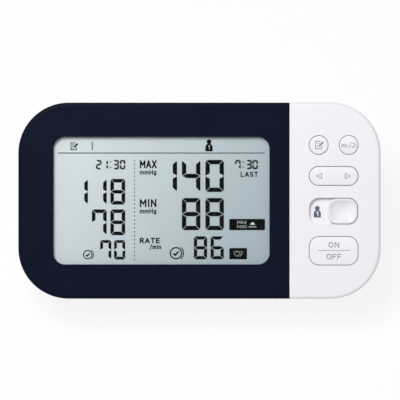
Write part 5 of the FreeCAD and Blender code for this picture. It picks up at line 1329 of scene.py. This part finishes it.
def row_places(low, high, sides, pitch, margin):
    """Places along the edges of a part under the board, aimed away from the board and out of each side."""
    half = Vector(((high.x - low.x) / 2, (high.y - low.y) / 2, 0))
    places = []
    for side in map(Vector, sides):
        across = Vector((-side.y, side.x, 0))
        length = abs(across.dot(half)) * 2 - 2 * margin
        count = math.floor(length / pitch) + 1
        edge = (low + high) / 2 + side * abs(side.dot(half))
        edge.z = high.z
        for index in range(count):
            point = edge + across * (index - (count - 1) / 2) * pitch
            places.append((FACE @ point, -OUT, FACE.to_3x3() @ side))
    return places


# Operators

MOTOR_LINES = {"stretch": (1, 1, 12), "scale": 500}
FOIL_LINES = {"stretch": (1, 14, 1), "scale": 500}
KEY_GRAIN = {"grain": 3000, "relief": 0.008}
# The knob's white is painted darker by this share, as painted shade for the hollow of its thumb scoop
KNOB_PAINTED_SHADE = 0.95
# radii of rolled edges, against the radius of a key's edges
CAPACITOR_ROLL = 3
PLUNGER_ROLL = 2
FOOT_ROLL = 2
KEY_BODIES = {
    "start_stop_button": "start_key",
    "memory_button": "memory_key",
    "connection_button": "connection_key",
    "page_rocker": "rocker",
}
PLUNGER_BODIES = {
    "start_plunger": "start_key",
    "memory_plunger": "memory_key",
    "connection_plunger": "connection_key",
    "rocker_plungers": "housing",
}
SCREW_AXES = {"case_screws": OUT, "circuit_board_screws": OUT, "pump_clamp_screws": Vector((0, 0, 1))}
CELL_AXIS = Vector((0, 1, 0))


class MONITOR_OT_finishes(bpy.types.Operator):
    """Gives every carried-over piece of the assembly its finish"""

    bl_idname = "monitor.finishes"
    bl_label = "Finish the shells and inner works"

    def execute(self, context):
        finishes = {name: finish_for(slot, context) for name, slot in NODE_SLOTS.items()}
        finishes["pump_motor"] = metal("motor_can", from_srgb(186, 188, 190), roughness=0.34, **MOTOR_LINES)
        finishes["user_switch_magnet"] = metal("magnet_plating", from_srgb(204, 206, 208), roughness=0.22)
        for name, finish in finishes.items():
            for holder in NODES[name].material_slots:
                holder.material = finish
        return {"FINISHED"}


class MONITOR_OT_display(bpy.types.Operator):
    """Sets the figures, labels and signs on the display glass"""

    bl_idname = "monitor.display"
    bl_label = "Print the display"

    def execute(self, context):
        _, display, _ = settings(context)
        level = reach(["lcd_glass"], OUT)[1] - FACE_LEVEL
        height = display.print_height
        dark = ink("display_ink", display.ink)
        faint = ink("display_rule", display.faint_ink)
        # The pale knockouts are printed in the glass's painted-highlight colour
        pale = ink("display_knockout", display.glass_painted_highlight)
        self.place("display_figures", self.figures(level, height, display.bar_gap / PIXEL), dark)
        self.place("display_rules", self.rules(level, height), faint)
        self.place("display_knockouts", self.knockouts(level + height, height), pale)
        self.place("display_dotted_line", self.dots(level, height, dark), dark)
        return {"FINISHED"}

    def place(self, name, mesh, finish):
        """Puts some printing on the housing."""
        piece(name, mesh, finish, "housing")

    def figures(self, level, height, gap):
        """The dark readings, labels, boxes and signs."""
        sheet = Print(level, height)
        for text, rights, top, bottom, width, bar in READINGS:
            for character, right in zip(text, rights):
                figure(sheet, character, right, top, bottom, width, bar, gap)
        for column in COLONS:
            for row in COLON_ROWS:
                sheet.box(column - COLON_HALF, column + COLON_HALF, row - COLON_HALF, row + COLON_HALF,
                          COLON_CORNER)
        for label in LABELS:
            sheet.words(*label)
        for box in DARK_BOXES:
            sheet.box(*box, DARK_BOX_CORNER)
        person(sheet, PERSON_SPOT, PERSON_SCALE)
        memo(sheet, MEMO_SPOT, MEMO_SCALE, MEMO_LINE)
        for ring in TICK_RINGS:
            tick_ring(sheet, *ring)
        return sheet.finished("display_figures")

    def rules(self, level, height):
        """The thin grey rules."""
        sheet = Print(level, height)
        for rule in RULES:
            sheet.stroke(rule, RULE_LINE)
        return sheet.finished("display_rules")

    def knockouts(self, level, height):
        """The pale signs on the dark boxes and the person's number."""
        sheet = Print(level, height)
        for label in ALERT_LABELS:
            sheet.words(*label)
        alert(sheet, ALERT_SPOT)
        beating_heart(sheet, HEART_SPOT, HEART_SCALE)
        person_number(sheet, "1", PERSON_SPOT, PERSON_NUMBER)
        return sheet.finished("display_knockouts")

    def dots(self, level, height, finish):
        """The dotted line between the two columns."""
        tree, keys = dotted_tree()
        first = from_photo(DOTTED_X, DOTTED_TOP, level)
        after = from_photo(DOTTED_X, DOTTED_TOP + DOT_PITCH, level)
        mesh = made_by(tree, keys, {
            "Count": round((DOTTED_END - DOTTED_TOP) / DOT_PITCH) + 1,
            "First": (*first, level + height / 2),
            "Step": (after[0] - first[0], after[1] - first[1], 0),
            "Radius": DOT_RADIUS * PIXEL,
            "Height": height,
            "Finish": finish,
        }, bpy.data.meshes.new("dots"))
        mesh.transform(FACE)
        return mesh


class MONITOR_OT_keys(bpy.types.Operator):
    """Rolls the edges of the keys, rocker and switch knob, and prints their signs"""

    bl_idname = "monitor.keys"
    bl_label = "Make the keys"

    def execute(self, context):
        case, display, _ = settings(context)
        white = moulded("white_key", case.white, roughness=0.4, **KEY_GRAIN)
        for node, body in KEY_BODIES.items():
            piece(node + "_cap", softened(node, case.edge), white, body, node)
        # The knob's white is painted darker than the keys' white: painted shade for its scoop
        knob_white_with_painted_shade = moulded("white_knob", scaled(case.white, KNOB_PAINTED_SHADE), roughness=0.45, **KEY_GRAIN)
        piece("user_switch_knob_cap", scooped_knob("user_switch_knob"), knob_white_with_painted_shade, "user_switch",
              "user_switch_knob", smooth=True)
        self.signs(display.print_height, ink("key_print", case.key_print))
        self.people(display.print_height, ink("pictogram_print", case.pictogram),
                    ink("pictogram_knockout", case.white))
        return {"FINISHED"}

    def signs(self, height, finish):
        """The grey signs and words on the keys."""
        memory = Print(level_of("memory_button", *MEMORY_SPOT), height)
        memo(memory, MEMORY_SPOT, MEMORY_SCALE, MEMORY_LINE)
        waves = Print(level_of("connection_button", *CONNECTION_SPOT), height)
        connection(waves, CONNECTION_SPOT, CONNECTION_LINE)
        arrows = Print(level_of("page_rocker", *LEFT_ARROW_SPOT), height)
        arrow(arrows, LEFT_ARROW_SPOT, -1, ARROW_LINE)
        arrow(arrows, RIGHT_ARROW_SPOT, 1, ARROW_LINE)
        words = Print(level_of("start_stop_button", *KEY_RULE[1]), height)
        for label in KEY_WORDS:
            words.words(*label)
        words.stroke(KEY_RULE, KEY_RULE_LINE)
        for name, sheet, body in (("memory_sign", memory, "memory_key"),
                                  ("connection_sign", waves, "connection_key"),
                                  ("page_arrows", arrows, "rocker"),
                                  ("main_key_words", words, "start_key")):
            piece(name, sheet.finished(name), finish, body)

    def people(self, height, dark, pale):
        """The numbered persons on the floor of the switch's slot."""
        floor = level_of("front_case", *SLOT_PEOPLE["1"])
        signs = Print(floor, height)
        numbers = Print(floor + height, height)
        for number, spot in SLOT_PEOPLE.items():
            person(signs, spot, SLOT_PERSON_SCALE)
            person_number(numbers, number, spot, SLOT_NUMBER)
        piece("user_signs", signs.finished("user_signs"), dark, "housing")
        piece("user_numbers", numbers.finished("user_numbers"), pale, "housing")


class MONITOR_OT_screws(bpy.types.Operator):
    """Replaces the plain screws by recessed and threaded ones"""

    bl_idname = "monitor.screws"
    bl_label = "Make the screws"

    def execute(self, context):
        finish = metal("zinc_screw", from_srgb(188, 190, 194), roughness=0.3)
        for node, axis in SCREW_AXES.items():
            screws = [Stepped(corners, axis) for corners in islands(node)]
            shape = screw_mesh(node + "_shape", screws[0])
            places = [(screw.top, screw.aim) for screw in screws]
            mesh = seat_copies(node + "_set", shape, places, finish)
            piece(node + "_set", mesh, finish, "housing", node, smooth=True)
        return {"FINISHED"}


class MONITOR_OT_cells(bpy.types.Operator):
    """Replaces the plain dry cells by sleeved ones with metal ends"""

    bl_idname = "monitor.cells"
    bl_label = "Make the dry cells"

    def execute(self, context):
        cells = [Stepped(corners, CELL_AXIS) for corners in islands("battery_cells")]
        places = [(cell.top, cell.aim) for cell in cells]
        sleeve, collar, base, cap = cell_profiles(cells[0])
        print_coat = finish_for("cell_sleeve", context)
        foil = metal("cell_foil", from_srgb(206, 178, 120), roughness=0.34, **FOIL_LINES)
        steel = finish_for("steel", context)
        for name, profiles, finish, slot, node in (
                ("cell_sleeves", [sleeve], print_coat, "cell_sleeve", "battery_cells"),
                ("cell_collars", [collar], foil, "cell_sleeve", None),
                ("cell_ends", [base, cap], steel, "steel", None)):
            mesh = seat_copies(name, lathed_mesh(name + "_shape", profiles), places, finish)
            piece(name, mesh, finish, "housing", node, smooth=True)
        return {"FINISHED"}


class MONITOR_OT_board_parts(bpy.types.Operator):
    """Replaces the plain chip, radio module, capacitors and key plungers on the board by fuller ones"""

    bl_idname = "monitor.board_parts"
    bl_label = "Make the circuit board's parts"

    def execute(self, context):
        case, _, _ = settings(context)
        self.chip(finish_for("steel", context))
        self.radio(context)
        sleeve = moulded("capacitor_sleeve", from_srgb(38, 52, 92), roughness=0.35)
        self.rounded("capacitors", CAPACITOR_ROLL * case.edge, sleeve, "housing")
        for node, body in PLUNGER_BODIES.items():
            self.rounded(node, PLUNGER_ROLL * case.edge, finish_for(NODE_SLOTS[node], context), body)
        return {"FINISHED"}

    def rounded(self, node, radius, finish, body):
        """A node with its edges rolled over."""
        piece(node + "_rounded", softened(node, radius), finish, body, node)

    def chip(self, steel):
        """A resin block with drafted sides and a row of bent legs along each of them."""
        low, high = face_box("microcontroller")
        middle = (low.z + high.z) / 2
        foot = high.z - LEG_THICKNESS
        rim = Vector((LEG_REACH, LEG_REACH, 0))
        resin = moulded("chip_resin", from_srgb(28, 28, 30), roughness=0.6, shade=0.85)
        block = layered("microcontroller_block", low + rim, high - rim, CHIP_CORNER,
                        ((low.z, CHIP_DRAFT), (middle, 0), (foot, CHIP_DRAFT)))
        piece("microcontroller_block", block, resin, "housing",
              "microcontroller")
        root, knee, heel = (share * LEG_REACH for share in LEG_SHARES)
        rise = high.z - middle
        sole = LEG_THICKNESS / 2
        line = [(root, rise), (knee, rise), (heel, sole), (0, sole)]
        leg = strip_mesh("leg", line, LEG_THICKNESS, LEG_WIDTH)
        places = row_places(low, high, ALL_SIDES, LEG_PITCH, LEG_MARGIN)
        legs = seat_copies("microcontroller_legs", leg, places, steel)
        piece("microcontroller_legs", legs, steel, "housing")

    def radio(self, context):
        """A small board with pads along its long edges, and a metal can that leaves the antenna free."""
        low, high = face_box("radio_module")
        top = high.z - MODULE_BOARD
        board = layered("radio_module_board", low, high, CHIP_CORNER,
                        ((top, MODULE_INSET), (high.z, MODULE_INSET)))
        piece("radio_module_board", board, finish_for("board_green", context), "housing",
              "radio_module")
        rim = Vector((CAN_INSET, CAN_INSET, 0))
        antenna = Vector((0, CAN_ANTENNA, 0))
        bevel = CAN_ROLL_SHARE * CAN_ROLL
        can = layered("radio_module_can", low + rim, high - rim - antenna, CAN_INSET,
                      ((low.z, CAN_ROLL), (low.z + bevel, bevel), (low.z + CAN_ROLL, 0), (top, 0)))
        piece("radio_module_can", can, finish_for("steel", context), "housing")
        thickness = MODULE_BOARD + PAD_PROUD
        pad = strip_mesh("pad", [(-PAD_DEPTH, thickness / 2), (0, thickness / 2)], thickness, PAD_WIDTH)
        nickel = finish_for("contact_metal", context)
        places = row_places(low, high, LONG_SIDES, PAD_PITCH, PAD_PITCH)
        pads = seat_copies("radio_module_pads", pad, places, nickel)
        piece("radio_module_pads", pads, nickel, "housing")


class MONITOR_OT_cover(bpy.types.Operator):
    """Rolls the edges of the battery cover and the feet"""

    bl_idname = "monitor.cover"
    bl_label = "Make the battery cover and feet"

    def execute(self, context):
        case, _, _ = settings(context)
        white = finish_for("white_plastic", context)
        rubber = finish_for("black_rubber", context)
        piece("battery_cover_shell", softened("battery_cover", case.edge), white, "battery_door",
              "battery_cover")
        piece("foot_pads", softened("rubber_feet", FOOT_ROLL * case.edge), rubber, "housing",
              "rubber_feet")
        return {"FINISHED"}


FLOOR_RADIUS = 3000 * MM
FLOOR_SIDES = 96
FLOOR_SHADE = 0.92
FLOOR_CLOUD = (3, 2)
FLOOR_CLOUD_SHADE = 0.99
FLOOR_WHITE_SHARE = 0.85
LAMP_SIDE = 550 * MM
LAMP_SPOT = (-270 * MM, 480 * MM, 1030 * MM)


class MONITOR_OT_stage(bpy.types.Operator):
    """Makes the floor, the studio light and the camera"""

    bl_idname = "monitor.stage"
    bl_label = "Set the stage"

    def execute(self, context):
        _, _, stage = settings(context)
        self.floor()
        self.lamp(stage.lamp)
        self.sky(context.scene, stage.sky)
        self.camera(context.scene)
        context.scene.view_settings.view_transform = "Standard"
        return {"FINISHED"}

    def seen(self, tree):
        """1 for rays that show the background: from the camera, in gloss and through glass."""
        path = add(tree, "ShaderNodeLightPath").outputs
        shiny = maths(tree, "MAXIMUM", path["Is Camera Ray"], path["Is Glossy Ray"])
        return maths(tree, "MAXIMUM", shiny, path["Is Transmission Ray"])

    def floor(self):
        """A wide pale floor that keeps the shadow."""
        bm = bmesh.new()
        bmesh.ops.create_circle(bm, cap_ends=True, segments=FLOOR_SIDES, radius=FLOOR_RADIUS)
        obj = new_object("studio_floor", mesh_from(bm, "studio_floor"))
        material, tree, shader = new_finish("studio_floor")
        pale = (FLOOR_SHADE,) * 3
        cloud = noise(tree, *FLOOR_CLOUD)
        feed(tree, shader, {
            "Base Color": mix_colours(tree, cloud, pale, scaled(pale, FLOOR_CLOUD_SHADE)),
            "Roughness": 1,
            "Specular IOR Level": 0,
        })
        white = add(tree, "ShaderNodeEmission")
        share = maths(tree, "MULTIPLY", self.seen(tree), FLOOR_WHITE_SHARE)
        mix_shaders(tree, share, shader.outputs["BSDF"], white.outputs["Emission"])
        obj.data.materials.append(material)

    def lamp(self, power):
        """A large square lamp above the face, up its slope and to the left."""
        data = bpy.data.lights.new("soft_lamp", "AREA")
        data.shape = "SQUARE"
        data.size = LAMP_SIDE
        data.energy = power
        obj = new_object("soft_lamp", data)
        place = FACE @ Vector(LAMP_SPOT)
        obj.location = place
        obj.rotation_euler = (FACE_ORIGIN - place).to_track_quat("-Z", "Y").to_euler()

    def sky(self, scene, level):
        """Even light all round, white where it is seen."""
        scene.world = bpy.data.worlds.new("studio")
        scene.world.use_nodes = True
        tree = scene.world.node_tree
        strength = spread(tree, self.seen(tree), level, 1)
        feed(tree, tree.nodes["Background"], {"Color": (1, 1, 1, 1), "Strength": strength})

    def camera(self, scene):
        """A long lens that looks straight down on the face."""
        data = bpy.data.cameras.new("camera")
        data.sensor_width = SENSOR_WIDTH
        data.lens = SENSOR_WIDTH * CAMERA_DISTANCE / (PHOTO_SIDE * PIXEL)
        obj = new_object("camera", data)
        obj.matrix_world = FACE @ Matrix.Translation((AXIS_X, AXIS_Y, CAMERA_DISTANCE))
        scene.camera = obj


class MONITOR_PT_pieces(bpy.types.Panel):
    """Lists the steps and settings of the monitor's looks"""

    bl_idname = "MONITOR_PT_pieces"
    bl_label = "Blood pressure monitor"
    bl_space_type = "VIEW_3D"
    bl_region_type = "UI"
    bl_category = "Monitor"

    def draw(self, context):
        for group in settings(context):
            for name in group.__annotations__:
                self.layout.prop(group, name)
        for operator in STEPS:
            self.layout.operator(operator.bl_idname)


STEPS = (MONITOR_OT_stage, MONITOR_OT_finishes, MONITOR_OT_display, MONITOR_OT_keys, MONITOR_OT_screws,
         MONITOR_OT_cells, MONITOR_OT_board_parts, MONITOR_OT_cover)
GROUPS = {"monitor_case": MonitorCase, "monitor_display": MonitorDisplay, "monitor_stage": MonitorStage}


def register():
    """Adds the settings, the steps and their panel."""
    for name, group in GROUPS.items():
        bpy.utils.register_class(group)
        setattr(bpy.types.Scene, name, bpy.props.PointerProperty(type=group))
    for step in STEPS:
        bpy.utils.register_class(step)
    bpy.utils.register_class(MONITOR_PT_pieces)


def unregister():
    """Takes them out again."""
    bpy.utils.unregister_class(MONITOR_PT_pieces)
    for step in reversed(STEPS):
        bpy.utils.unregister_class(step)
    for name, group in GROUPS.items():
        delattr(bpy.types.Scene, name)
        bpy.utils.unregister_class(group)


def main():
    """Runs every step."""
    register()
    for step in STEPS:
        area, name = step.bl_idname.split(".")
        getattr(getattr(bpy.ops, area), name)()


if __name__ == "__main__":
    main()
